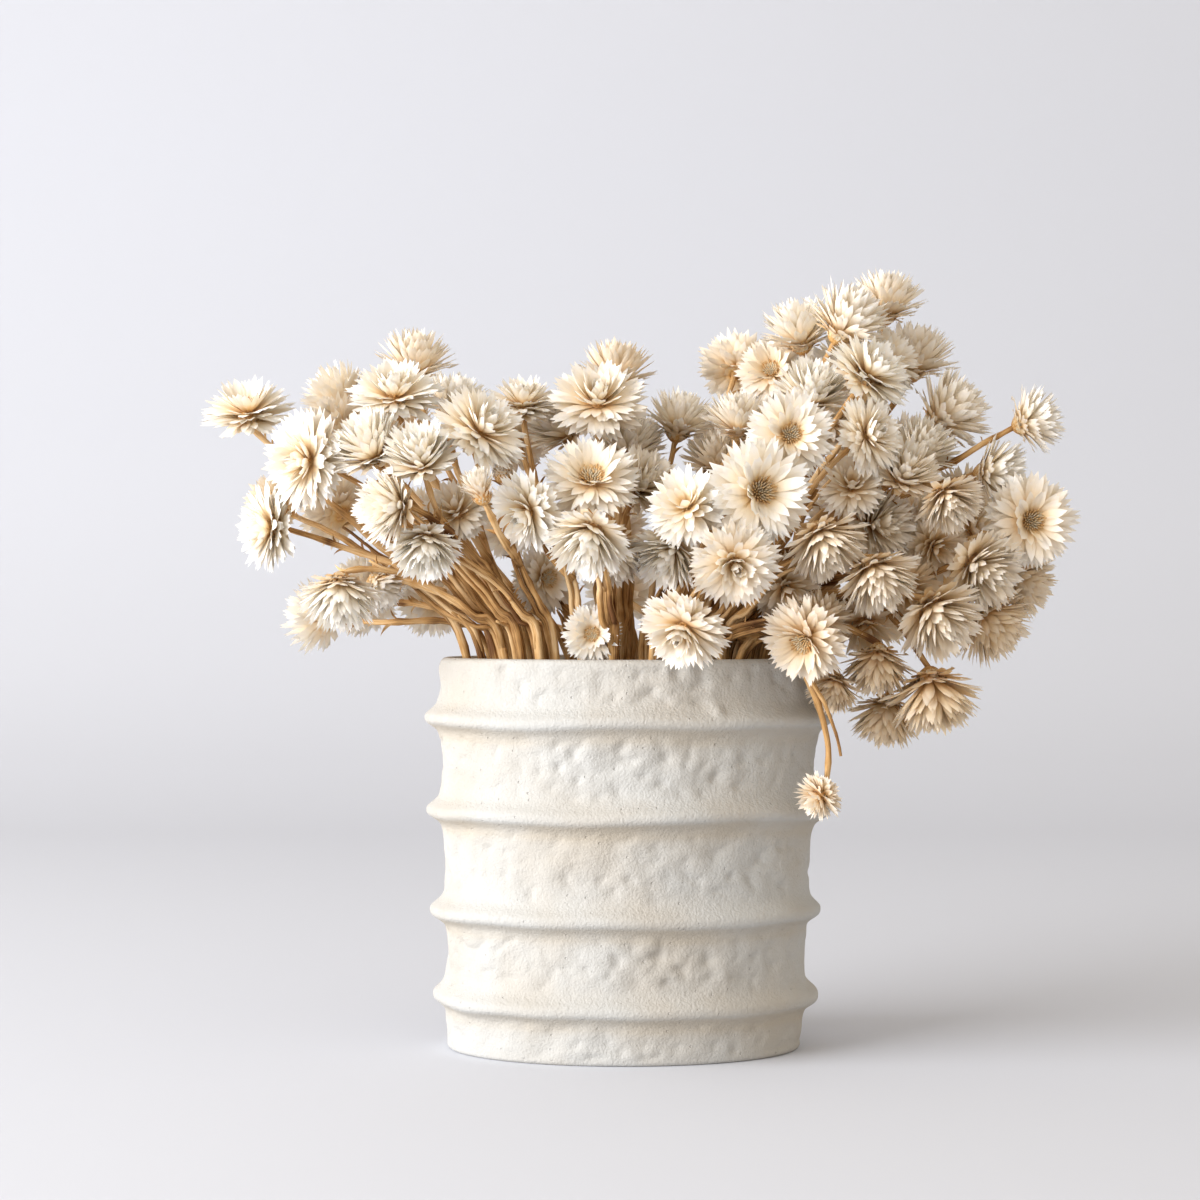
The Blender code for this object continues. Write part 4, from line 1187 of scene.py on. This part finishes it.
@dataclass
class BladeShape:
    """Outline of one kind of dry blade, one unit long, as a closed thin lens."""

    name: str
    waist: float
    widest: float
    curl: float
    cup: float
    notch: float = 0.0
    tip: float = 0.0
    rows: int = 4
    thick: float = 0.45
    thin_out: float = 0.6
    crowd: float = 0.86
    notch_from: float = 0.8
    taper: float = 1.15
    rim_angle: float = 1.2

    def build(self) -> bpy.types.Mesh:
        """Blade along +Z, its width along X, its inner face towards +Y, UV up its length.

        Returns:
            The blade's mesh.
        """
        bm = bmesh.new()
        bm.loops.layers.uv.new("blade")
        bmesh.ops.create_grid(bm, x_segments=2, y_segments=self.rows, size=0.5, calc_uvs=True)
        copied = bmesh.ops.duplicate(bm, geom=bm.verts[:] + bm.edges[:] + bm.faces[:])["geom"]
        behind = {item for item in copied if isinstance(item, bmesh.types.BMVert)}
        flip = [item for item in copied if isinstance(item, bmesh.types.BMFace)]
        bmesh.ops.reverse_faces(bm, faces=flip)
        for vert in bm.verts:
            across, along = vert.co.x * 2.0, (vert.co.y + 0.5) ** self.crowd
            width = self.width_at(along)
            lens = 0.05 * self.thick * (1.0 - along * self.thin_out) if abs(across) < 0.5 else 0.0
            lift = self.curl * along * along + self.cup * width * across ** 2
            past = max(0.0, along - self.notch_from) / (1.0 - self.notch_from)
            reach = along - self.notch * (1.0 - abs(across)) * past
            side = -1.0 if vert in behind else 1.0
            vert.co = (across * width * 0.5, lift + side * lens, reach)
        bmesh.ops.remove_doubles(bm, verts=bm.verts, dist=1e-5)
        for edge in bm.edges:
            edge.smooth = edge.calc_face_angle(math.pi) < self.rim_angle
        return keep_mesh(self.name, bm)

    def width_at(self, along: float) -> float:
        """Outline of the blade.

        Args:
            along: share of the length.

        Returns:
            Share of the full width there.
        """
        if along < self.widest:
            share = along / self.widest
            return self.waist + (1.0 - self.waist) * math.sin(share * math.pi / 2.0)
        share = (along - self.widest) / (1.0 - self.widest)
        return self.tip + (1.0 - self.tip) * math.cos(share * math.pi / 2.0) ** self.taper


def keep_mesh(name: str, bm: bmesh.types.BMesh) -> bpy.types.Mesh:
    """Mesh of a finished bmesh, which is freed.

    Args:
        name: the mesh's name.
        bm: the bmesh.

    Returns:
        The mesh.
    """
    mesh = bpy.data.meshes.new(name)
    bm.to_mesh(mesh)
    bm.free()
    return mesh


class Blades:
    """The few blade meshes that every petal, scale and floret is a turned copy of."""

    def __init__(self) -> None:
        """Make the blade meshes once."""
        self.flared = [shape.build() for shape in (
            BladeShape("petal_split_a", 0.40, 0.68, -0.40, 0.05, 0.17, 0.66),
            BladeShape("petal_split_b", 0.38, 0.72, -0.15, 0.10, 0.14, 0.60),
            BladeShape("petal_split_c", 0.42, 0.64, -0.75, 0.05, 0.18, 0.72),
            BladeShape("petal_sharp", 0.40, 0.62, -0.30, 0.08),
            BladeShape("petal_lance", 0.38, 0.56, 0.05, 0.12),
        )]
        self.cupped = [shape.build() for shape in (
            BladeShape("inner_a", 0.42, 0.60, 0.50, 0.18),
            BladeShape("inner_b", 0.38, 0.68, 0.25, 0.12, 0.08, 0.45),
            BladeShape("inner_c", 0.46, 0.54, 0.85, 0.18),
        )]
        self.scale = BladeShape("scale", 0.7, 0.4, -0.12, -0.18, rows=2, thick=1.6).build()
        self.leaf = BladeShape("dry_leaf", 0.3, 0.42, -1.3, 0.45, rows=6, thick=0.6).build()
        ball = bmesh.new()
        bmesh.ops.create_uvsphere(ball, u_segments=10, v_segments=7, radius=1.0)
        floret = bmesh.new()
        bmesh.ops.create_cone(floret, cap_ends=True, segments=4, radius1=1.0, radius2=0.35,
                              depth=1.0, matrix=Matrix.Translation((0.0, 0.0, 0.5)))
        for bm in (ball, floret):
            bm.loops.layers.uv.new("blade")
        self.ball = keep_mesh("cup_body", ball)
        self.floret = keep_mesh("floret", floret)

    def drop(self) -> None:
        """Remove the blade meshes once every copy is made."""
        for mesh in self.flared + self.cupped + [self.scale, self.leaf, self.ball, self.floret]:
            bpy.data.meshes.remove(mesh)

    @staticmethod
    def put(bm: bmesh.types.BMesh, blade: bpy.types.Mesh, turned: Matrix, tone: float) -> None:
        """Add one turned copy of a blade.

        Args:
            bm: mesh that takes the copy.
            blade: the blade's mesh.
            turned: its place, turn and size.
            tone: how aged it looks, from 0 to 1; on a petal it also holds painted shade.
        """
        first = len(bm.verts)
        bm.from_mesh(blade)
        bm.verts.ensure_lookup_table()
        fresh = bm.verts[first:]
        bmesh.ops.transform(bm, matrix=turned, verts=fresh)
        layer = bm.verts.layers.float["tone"]
        for vert in fresh:
            vert[layer] = tone

    @staticmethod
    def turned(root: np.ndarray, way: np.ndarray, inner: np.ndarray,
               size: tuple[float, float, float]) -> Matrix:
        """Matrix that lays a blade down.

        Args:
            root: where the blade starts.
            way: unit direction of its length.
            inner: roughly the direction that its inner face looks in.
            size: its width, thickness and length.

        Returns:
            The blade's matrix.
        """
        across = unit(np.cross(inner, way))
        face = np.cross(way, across)
        matrix = Matrix.Identity(4)
        for row in range(3):
            matrix[row][0] = float(across[row] * size[0])
            matrix[row][1] = float(face[row] * size[1])
            matrix[row][2] = float(way[row] * size[2])
            matrix[row][3] = float(root[row])
        return matrix


@dataclass
class Bloom:
    """Dresses one head: its rings of petals, its scaly cup and its disc.

    Sizes in millimetres are those of a head of the usual width.
    """

    blades: Blades
    chance: random.Random
    usual_width: float = 38.0
    petal_counts: tuple[int, ...] = (12, 15, 28, 28, 25, 19, 13, 8)
    bare_rings: int = 6
    petal_width: float = 4.8
    width_range: tuple[float, float] = (0.78, 1.12)
    length_range: tuple[float, float] = (0.88, 1.04)
    reach: float = 1.05
    ring_turn: float = 0.17
    petal_stray: float = 0.25
    collar: tuple[float, float] = (26.0, 13.0)
    collar_age: float = 0.02
    age_range: tuple[float, float] = (-0.08, 0.12)
    flared_until: float = 0.45
    root_share: float = 0.6
    root_drops: tuple[float, ...] = (0.62, 0.52, 0.42, 0.32, 0.2, 0.1, 0.0, 0.0)
    outer_flare: float = 5.0
    inner_close: float = 10.0
    least_polar: float = 4.0
    twist: float = 6.0
    side_lean: float = 3.5
    polar_spread: float = 2.4
    cup_rings: int = 5
    cup_scales: int = 12
    cup_depth: float = 1.1
    cup_body: tuple[float, float] = (0.78, 0.62)
    cup_levels: tuple[float, float] = (0.02, 0.56)
    cup_wide: float = 0.9
    cup_round: float = 1.15
    cup_sink: float = 0.92
    stalk: float = 2.3
    scale_steep: tuple[float, float] = (48.0, 22.0)
    scale_range: tuple[float, float] = (0.85, 1.2)
    scale_width: float = 2.3
    scale_length: tuple[float, float] = (2.8, 1.6)
    scale_stray: float = 0.1
    scale_tone: tuple[float, float] = (0.62, 0.1)
    body_tone: float = 0.3
    tone_spread: float = 0.16
    floret_count: int = 64
    shut_part: int = 3
    disc_rise: tuple[float, float] = (0.5, 0.3)
    disc_wide: float = 0.6
    disc_lean: float = 34.0
    floret_width: float = 0.7
    floret_length: tuple[float, float] = (1.8, 2.8)
    floret_swell: tuple[float, float] = (0.9, 0.5)
    floret_tone: tuple[float, float] = (0.9, -0.45)

    def radial(self, side: np.ndarray, up: np.ndarray, angle: float) -> np.ndarray:
        """Unit direction at an angle round the head's axis."""
        return side * math.cos(angle) + up * math.sin(angle)

    def lay_petals(self, bm: bmesh.types.BMesh, head: Head) -> None:
        """Lay every ring of petals, the outer ones first.

        Args:
            bm: mesh that takes the petals.
            head: the head.
        """
        side, up = frame_of(head.axis)
        counts = self.petal_counts[: self.bare_rings if head.bare else None]
        for ring, count in enumerate(counts):
            place = max(0, ring - 2) / (len(self.petal_counts) - 3)
            # The head's tone: a random age plus painted shade by its place.
            polar, age_and_shade = self.ring_polar(head.kind, place), head.tone
            if ring < len(self.collar):
                polar += self.collar[ring]
                age_and_shade += self.collar_age * self.collar[ring]
            shut = head.kind in (Kind.CUP, Kind.BUD) and ring > 2
            flared = place < self.flared_until and not shut
            kinds = self.blades.flared if flared else self.blades.cupped
            for index in range(count):
                angle = 2.0 * math.pi * (index + 0.5 * (ring % 2) + self.ring_turn * ring) / count
                angle += self.chance.uniform(-self.petal_stray, self.petal_stray) / count * math.pi
                out = self.radial(side, up, angle)
                lean = math.radians(polar + self.chance.gauss(0.0, self.polar_spread))
                turned = self.turn_petal(head, ring, out, lean)
                tone = clamp(age_and_shade + self.chance.uniform(*self.age_range))
                Blades.put(bm, self.chance.choice(kinds), turned, tone)

    def turn_petal(self, head: Head, ring: int, out: np.ndarray, lean: float) -> Matrix:
        """Place of one petal, a little astray.

        Args:
            head: the head.
            ring: the petal's ring, the outermost first.
            out: unit direction from the head's axis.
            lean: angle from the axis.

        Returns:
            The petal's matrix.
        """
        way = head.axis * math.cos(lean) + out * math.sin(lean)
        sway = math.radians(self.chance.gauss(0.0, self.side_lean))
        way = unit(way + np.cross(head.axis, out) * math.sin(sway))
        reach = self.reach * head.full * LENGTHS[head.kind][ring]
        tip = head.hub + way * (reach * self.chance.uniform(*self.length_range))
        low = head.axis * (head.core * self.root_drops[ring])
        root = head.hub - low + way * head.core * self.root_share
        length = float(np.linalg.norm(tip - root))
        way = (tip - root) / length
        width = self.petal_width * head.width / self.usual_width
        width *= self.chance.uniform(*self.width_range)
        inner = head.axis * math.sin(lean) - out * math.cos(lean)
        turn = math.radians(self.chance.gauss(0.0, self.twist))
        inner = inner * math.cos(turn) + np.cross(way, inner) * math.sin(turn)
        return Blades.turned(root, way, inner, (width, width, length))

    def ring_polar(self, kind: Kind, place: float) -> float:
        """Angle in degrees from the axis of the petals of a ring.

        Args:
            kind: how far the head is open.
            place: 0 for the outermost ring, 1 for the innermost.

        Returns:
            The angle.
        """
        outer, middle, inner = POLARS[kind]
        ends = (outer + self.outer_flare, middle, max(self.least_polar, inner - self.inner_close))
        return float(np.interp(place, (0.0, 0.5, 1.0), ends))

    def lay_cup(self, bm: bmesh.types.BMesh, head: Head) -> None:
        """Lay the scaly cup that holds the petals, over a closed inner body.

        Args:
            bm: mesh that takes the scales.
            head: the head.
        """
        side, up = frame_of(head.axis)
        depth = self.cup_depth * head.core
        wide, tall = self.cup_body
        body = Blades.turned(head.base + head.axis * (0.5 * depth), head.axis, side,
                             (head.core * wide, head.core * wide, tall * depth))
        Blades.put(bm, self.blades.ball, body, self.body_tone)
        low, span = self.cup_levels
        for ring in range(self.cup_rings):
            share = ring / (self.cup_rings - 1)
            level = head.base + head.axis * (depth * (low + span * share))
            bulge = math.sin(math.pi / 2.0 * min(1.0, share * self.cup_round))
            radius = self.stalk + (head.core * self.cup_wide - self.stalk) * bulge
            steep = math.radians(np.interp(share, (0.0, 1.0), self.scale_steep))
            count = self.cup_scales + ring
            for index in range(count):
                angle = 2.0 * math.pi * (index + 0.5 * (ring % 2)) / count
                angle += self.chance.uniform(-self.scale_stray, self.scale_stray)
                out = self.radial(side, up, angle)
                way = unit(head.axis * math.cos(steep) + out * math.sin(steep))
                size = self.chance.uniform(*self.scale_range) * head.width / self.usual_width
                width = self.scale_width * size
                length = (self.scale_length[0] + self.scale_length[1] * share) * size
                turned = Blades.turned(level + out * radius * self.cup_sink, way, -out,
                                       (width, width, length))
                mean = self.scale_tone[0] + self.scale_tone[1] * share
                Blades.put(bm, self.blades.scale, turned,
                           clamp(self.chance.gauss(mean, self.tone_spread)))

    def lay_disc(self, bm: bmesh.types.BMesh, head: Head) -> None:
        """Lay the tight dome of tiny florets that an open head shows.

        Args:
            bm: mesh that takes the florets.
            head: the head.
        """
        side, up = frame_of(head.axis)
        count = self.floret_count if head.bare else self.floret_count // self.shut_part
        rise = self.disc_rise[0 if head.bare else 1]
        golden = math.pi * (3.0 - math.sqrt(5.0))
        for index in range(count):
            share = math.sqrt((index + 0.5) / count)
            lean = share * math.radians(self.disc_lean)
            out = self.radial(side, up, index * golden)
            way = unit(head.axis * math.cos(lean) + out * math.sin(lean))
            swell = self.floret_swell[0] + self.floret_swell[1] * share
            length = self.chance.uniform(*self.floret_length) * swell
            root = head.hub + (head.axis * rise + out * (self.disc_wide * share)) * head.core
            turned = Blades.turned(root, way, side if abs(way @ side) < 0.9 else up,
                                   (self.floret_width, self.floret_width,
                                    length * head.width / self.usual_width))
            mean = self.floret_tone[0] + self.floret_tone[1] * share ** 3
            Blades.put(bm, self.blades.floret, turned,
                       clamp(self.chance.gauss(mean, self.tone_spread)))


# Length of each ring of petals, the outermost first, as a share of a full petal
LENGTHS = {
    Kind.OPEN: (0.4, 0.74, 1.0, 1.02, 0.97, 0.88, 0.76, 0.62),
    Kind.BALL: (0.4, 0.7, 0.92, 0.98, 1.0, 0.98, 0.92, 0.82),
    Kind.CUP: (0.4, 0.74, 0.98, 1.03, 1.05, 1.03, 0.98, 0.92),
    Kind.BUD: (0.5, 0.75, 0.9, 1.0, 1.0, 0.98, 0.95, 0.9),
    Kind.SEED: (0.4, 0.5, 0.55, 0.6, 0.6, 0.55, 0.5, 0.45),
}


@dataclass
class Twig:
    """Grows one stem or side stalk along its course, with nodes and dry leaf scraps."""

    blades: Blades
    chance: random.Random
    thick: float = 2.6
    thin: float = 1.4
    sides: int = 8
    steps_per_span: int = 6
    waves: tuple[tuple[float, float], ...] = ((2.4, 30.0), (0.6, 11.0))
    wave_shifts: tuple = ((0.0, 0.0, 0.0), (17.3, 5.1, 9.7), (4.9, 23.7, 31.3))
    calm_height: float = 204.0
    calm_run: float = 26.0
    knobble: float = 0.16
    knobble_mm: float = 3.2
    node_gap: float = 24.0
    node_mm: float = 2.8
    node_swell: float = 0.3
    shoots: tuple[int, int] = (2, 4)
    shoot_levels: tuple[float, float] = (150.0, 215.0)
    shoot_runs: tuple[float, float] = (50.0, 120.0)
    shoot_thick: float = 1.9
    shoot_thin: float = 0.7
    shoot_turn: tuple[float, float] = (0.3, 130.0)
    shoot_stray: float = 4.0
    shoot_tones: tuple[float, float] = (0.05, 0.85)
    shoot_least: int = 5
    shoot_front: float = 1.4
    fork_share: float = 0.92
    stem_tones: tuple[float, float] = (0.1, 0.8)
    tone_rise: float = 0.25
    node_dark: float = 0.35
    first_node: float = 8.0
    scraps: tuple[int, int] = (3, 6)
    scrap_low: float = 212.0
    scrap_share: tuple[float, float] = (0.55, 1.3)
    scrap_lean: tuple[float, float] = (18.0, 55.0)
    scrap_width: tuple[float, float] = (1.4, 2.6)
    scrap_length: tuple[float, float] = (5.0, 10.0)
    scrap_tones: tuple[float, float] = (0.3, 0.9)
    scrap_off: float = 1.5

    def grow(self, bm: bmesh.types.BMesh, course: np.ndarray, whole: bool) -> None:
        """Grow a stem along its course.

        Args:
            bm: mesh that takes the stem.
            course: points from the foot or the fork to the head.
            whole: whether the stem starts in the vase, not at a fork.
        """
        line = self.smooth(course)
        runs = run_of(line)
        nodes = [self.chance.uniform(self.first_node, self.node_gap)]
        while nodes[-1] < runs[-1]:
            nodes.append(nodes[-1] + self.node_gap * self.chance.uniform(0.5, 1.5))
        start = self.thick if whole else self.fork_share * self.thick
        shade = self.chance.uniform(*self.stem_tones)
        radii, tones = [], []
        for run in runs:
            share = run / runs[-1]
            swell = max(math.exp(-(((run - node) / self.node_mm) ** 2)) for node in nodes)
            radii.append((start + (self.thin - start) * share) * (1.0 + self.node_swell * swell))
            tones.append(clamp(shade + self.tone_rise * share - self.node_dark * swell))
        self.sweep(bm, line, radii, tones, self.sides)
        if whole:
            self.add_shoots(bm, line, runs, radii)
        self.add_scraps(bm, line)

    def sweep(self, bm: bmesh.types.BMesh, line: np.ndarray, radii: list[float],
              tones: list[float], sides: int) -> None:
        """Skin a closed tube over a line.

        Args:
            bm: mesh that takes the tube.
            line: points along its middle.
            radii: its radius at each point.
            tones: how pale it is at each point.
            sides: corners round it.
        """
        tone = bm.verts.layers.float["tone"]
        grain = bm.verts.layers.float_vector["grain"]
        run = self.chance.uniform(0.0, 4000.0)
        ring = bmesh.ops.create_circle(bm, cap_ends=False, segments=sides, radius=1.0)["verts"]
        edges = list(dict.fromkeys(edge for vert in ring for edge in vert.link_edges))
        bmesh.ops.contextual_create(bm, geom=edges)
        last = len(line) - 1
        for index, point in enumerate(line):
            way = unit(line[min(index + 1, last)] - line[max(index - 1, 0)])
            if index:
                run += float(np.linalg.norm(point - line[index - 1]))
                grown = bmesh.ops.extrude_edge_only(bm, edges=edges)["geom"]
                fresh = {item for item in grown if isinstance(item, bmesh.types.BMVert)}
                ring = [next(edge.other_vert(vert) for edge in vert.link_edges
                             if edge.other_vert(vert) in fresh) for vert in ring]
                edges = [item for item in grown
                         if isinstance(item, bmesh.types.BMEdge) and item.is_boundary]
            self.set_ring(ring, point, way, radii[index])
            for turn, vert in enumerate(ring):
                angle = 2.0 * math.pi * turn / sides
                vert[tone] = tones[index]
                vert[grain] = (self.thick * math.cos(angle), self.thick * math.sin(angle), run)
        bmesh.ops.contextual_create(bm, geom=edges)

    def smooth(self, course: np.ndarray) -> np.ndarray:
        """Finer course through the same points, crooked between them above the mouth.

        Args:
            course: points from the foot or the fork to the head.

        Returns:
            The finer course.
        """
        ends = np.vstack((2 * course[0] - course[1], course, 2 * course[-1] - course[-2]))
        line = []
        for index in range(1, len(ends) - 2):
            before, start, end, after = ends[index - 1 : index + 3]
            for step in range(self.steps_per_span):
                t = step / self.steps_per_span
                line.append(0.5 * (2 * start + (end - before) * t
                                   + (2 * before - 5 * start + 4 * end - after) * t ** 2
                                   + (3 * start - before - 3 * end + after) * t ** 3))
        line.append(course[-1])
        fine = np.array(line)
        last = len(fine) - 1
        for index, point in enumerate(fine):
            ease = min(1.0, index / 4.0, (last - index) / 5.0)
            ease *= min(1.0, max(0.1, (point[2] - self.calm_height) / self.calm_run))
            for reach, length in self.waves:
                spot = Vector(point / length)
                stray = [noise.noise(spot + Vector(shift)) for shift in self.wave_shifts]
                fine[index] += np.array(stray) * (reach * ease)
        return fine

    def set_ring(self, ring: list, point: np.ndarray, way: np.ndarray, radius: float) -> None:
        """Place the corners of one ring round the stem's course.

        Args:
            ring: corners in order round the ring.
            point: middle of the ring.
            way: unit direction of the stem there.
            radius: the stem's radius there.
        """
        side = unit(np.cross(way, (0.31, 0.95, 0.02)))
        up = np.cross(way, side)
        count = len(ring)
        for index, vert in enumerate(ring):
            angle = 2.0 * math.pi * index / count
            out = (side * math.cos(angle) + up * math.sin(angle)) * radius
            lump = noise.noise(Vector((point + out) / self.knobble_mm))
            vert.co = Vector(point + out * (1.0 + self.knobble * lump))

    def add_shoots(self, bm: bmesh.types.BMesh, line: np.ndarray, runs: np.ndarray,
                   radii: list[float]) -> None:
        """Add the thin dead side shoots that wind up beside the stem from the mouth.

        Args:
            bm: mesh that takes the shoots.
            line: the stem's fine course.
            runs: distance along it of each point.
            radii: the stem's radius at each point.
        """
        last = len(line) - 1
        for _ in range(self.chance.randint(*self.shoots)):
            level = self.chance.uniform(*self.shoot_levels)
            span = self.chance.uniform(*self.shoot_runs)
            first = int(np.argmax(line[:, 2] > level))
            picked = [at for at in range(first, last - 4) if runs[at] - runs[first] < span]
            hand = self.chance.choice((-1.0, 1.0))
            turn = math.radians(self.chance.uniform(self.shoot_turn[0], 1.0) * self.shoot_turn[1])
            shade = self.chance.uniform(*self.shoot_tones)
            path, sizes = [], []
            for step, at in enumerate(picked):
                share = step / (len(picked) - 1)
                way = unit(line[at + 1] - line[max(at - 1, 0)])
                outward = (line[at][0], self.shoot_front * line[at][1], 0.0)
                beside = unit(np.cross(way, outward)) * hand
                front = np.cross(beside, way) * hand
                size = self.shoot_thick + (self.shoot_thin - self.shoot_thick) * share
                lean = turn * share
                off = (radii[at] + 0.75 * size) * min(1.0, 6.0 * share)
                off += self.shoot_stray * share ** 3
                path.append(line[at] + (beside * math.cos(lean) + front * math.sin(lean)) * off)
                sizes.append(size)
            if len(path) > self.shoot_least:
                self.sweep(bm, np.array(path), sizes, [shade] * len(path), self.sides - 2)

    def add_scraps(self, bm: bmesh.types.BMesh, line: np.ndarray) -> None:
        """Add the small curled scraps of leaf that stayed on the stem.

        Args:
            bm: mesh that takes the scraps.
            line: the stem's fine course.
        """
        span, power = self.scrap_share
        for _ in range(self.chance.randint(*self.scraps)):
            share = 1.0 - span * self.chance.random() ** power
            index = min(len(line) - 2, int(share * (len(line) - 1)))
            if line[index][2] < self.scrap_low:
                continue
            way = unit(line[index + 1] - line[index])
            side, up = frame_of(way)
            angle = self.chance.uniform(0.0, 2.0 * math.pi)
            out = side * math.cos(angle) + up * math.sin(angle)
            lean = math.radians(self.chance.uniform(*self.scrap_lean))
            along = unit(way * math.cos(lean) + out * math.sin(lean))
            width = self.chance.uniform(*self.scrap_width)
            length = self.chance.uniform(*self.scrap_length)
            turned = Blades.turned(line[index] + out * self.scrap_off, along, -out,
                                   (width, width, length))
            Blades.put(bm, self.blades.leaf, turned, self.chance.uniform(*self.scrap_tones))


@dataclass
class Flowers:
    """All sprays of the bunch, three dressed pieces to each."""

    bunch: Bunch
    seed: int = 7
    young: float = 0.05
    # Painted shade: the low right and far heads, away from the key light, are tinted more golden.
    low_right_shade: float = 0.45
    low_range: tuple[float, float] = (300.0, 210.0)
    right_range: tuple[float, float] = (20.0, 130.0)
    far_shade: float = 0.2
    far_range: tuple[float, float] = (-20.0, 40.0)
    age_range: tuple[float, float] = (-0.1, 0.16)

    def build(self) -> None:
        """Build the petals, the scales and the wood of every spray."""
        petal = PaperyBract().build()
        scale = GoldenScale().build()
        twig = DriedTwig().build()
        heads, paths, joins = self.bunch.lay_out()
        self.age_and_shade(heads)
        blades = Blades()
        for spray in sorted({head.spray for head in heads}):
            chance = random.Random(self.seed * 1000 + spray)
            bloom, wood = Bloom(blades, chance), Twig(blades, chance)
            meshes = [self.fresh_mesh() for _ in range(3)]
            for index, head in enumerate(heads):
                if head.spray != spray:
                    continue
                bloom.lay_petals(meshes[0], head)
                bloom.lay_cup(meshes[1], head)
                if head.kind in (Kind.OPEN, Kind.BALL):
                    bloom.lay_disc(meshes[1], head)
                first = joins[index][1] if joins[index] else 0
                wood.grow(meshes[2], paths[index][first:], not first)
            node = (f"spray_{spray:02d}",)
            finish_piece(f"petals_{spray:02d}", meshes[0], petal, node)
            finish_piece(f"scales_{spray:02d}", meshes[1], scale, node)
            finish_piece(f"stem_{spray:02d}", meshes[2], twig, node)
        blades.drop()

    def fresh_mesh(self) -> bmesh.types.BMesh:
        """Empty mesh with the layers that the finishes read.

        Returns:
            The bmesh.
        """
        bm = bmesh.new()
        bm.loops.layers.uv.new("blade")
        bm.verts.layers.float.new("tone")
        bm.verts.layers.float_vector.new("grain")
        return bm

    def age_and_shade(self, heads: list[Head]) -> None:
        """Give each head its tone: random age, and painted shade on the low right and far side.

        Args:
            heads: the heads, whose tones are set.
        """
        chance = random.Random(self.seed)
        for head in heads:
            across, deep, high = head.middle
            low = np.interp(-high, [-end for end in self.low_range], (0.0, 1.0))
            right = np.interp(across, self.right_range, (0.0, 1.0))
            far = np.interp(deep, self.far_range, (0.0, 1.0))
            # Painted shade by place, then a random age.
            head.tone = float(self.young + self.low_right_shade * low * right + self.far_shade * far)
            head.tone += chance.uniform(*self.age_range)


@dataclass
class Studio:
    """Pale sweep, large soft light from the left and a warm even fill, in metres."""

    floor: str = "#cfd2da"
    key_place: tuple[float, float, float] = (-2.1, -1.2, 0.6)
    key_aim: tuple[float, float, float] = (0.0, 0.0, 0.2)
    key_side: float = 2.2
    key_watts: float = 137.0
    fill: float = 0.8
    sweep: tuple = ((-2.4, 0.0), (1.3, 0.0), (1.63, 0.05), (1.86, 0.2), (2.0, 0.45), (2.05, 0.8),
                    (2.05, 2.8))
    half_width: float = 2.8
    floor_roughness: float = 0.9
    key_colour: str = "#fbfcff"
    fill_colour: str = "#faf0e2"

    def build(self) -> None:
        """Build the sweep, the light and the world."""
        self.lay_sweep()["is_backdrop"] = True
        self.hang_key()
        self.fill_shadows()
        bpy.context.scene.view_settings.view_transform = "Standard"

    def lay_sweep(self) -> bpy.types.Object:
        """Draw the floor's line out sideways, so that it rises softly to a wall.

        Returns:
            The floor.
        """
        bm = bmesh.new()
        corners = [bm.verts.new((-self.half_width, y, z)) for y, z in self.sweep]
        edges = [bm.edges.new(pair) for pair in zip(corners, corners[1:])]
        grown = bmesh.ops.extrude_edge_only(bm, edges=edges)["geom"]
        moved = [item for item in grown if isinstance(item, bmesh.types.BMVert)]
        bmesh.ops.translate(bm, vec=(2.0 * self.half_width, 0.0, 0.0), verts=moved)
        bmesh.ops.recalc_face_normals(bm, faces=bm.faces)
        mesh = keep_mesh("floor_sweep", bm)
        mesh.polygons.foreach_set("use_smooth", [True] * len(mesh.polygons))
        material = bpy.data.materials.new("pale_floor")
        material.use_nodes = True
        shader = material.node_tree.nodes["Principled BSDF"]
        shader.inputs["Base Color"].default_value = linear(self.floor)
        shader.inputs["Roughness"].default_value = self.floor_roughness
        mesh.materials.append(material)
        sweep = bpy.data.objects.new("floor_sweep", mesh)
        bpy.context.scene.collection.objects.link(sweep)
        return sweep

    def hang_key(self) -> None:
        """Hang the large soft light and aim it."""
        light = bpy.data.lights.new("key_light", "AREA")
        light.shape = "SQUARE"
        light.size = self.key_side
        light.energy = self.key_watts
        light.color = linear(self.key_colour)[:3]
        lamp = bpy.data.objects.new("key_light", light)
        lamp.location = self.key_place
        aim = Vector(self.key_aim) - Vector(self.key_place)
        lamp.rotation_euler = aim.to_track_quat("-Z", "Y").to_euler()
        bpy.context.scene.collection.objects.link(lamp)

    def fill_shadows(self) -> None:
        """Set the even, slightly warm light of the world."""
        world = bpy.data.worlds.new("even_fill")
        bpy.context.scene.world = world
        world.use_nodes = True
        back = world.node_tree.nodes["Background"]
        back.inputs["Color"].default_value = linear(self.fill_colour)
        back.inputs["Strength"].default_value = self.fill


def write_size(label: str, sizes: dict) -> None:
    """Args:
        label: what the box is of.
        sizes: the boxes kept so far, which take this one.
    """
    low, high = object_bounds()
    sizes[label] = [[float(value) for value in low], [float(value) for value in high]]


def main() -> None:
    """Build the vase, its flowers and the studio."""
    logging.basicConfig(level=logging.INFO)
    sizes: dict = {}
    write_size("frame", sizes)
    view = View()
    vase = Vase()
    vase.build(BisqueStoneware().build())
    Flowers(Bunch(view, vase)).build()
    Studio().build()
    view.make_camera()
    write_size("scene", sizes)


if __name__ == "__main__":
    main()
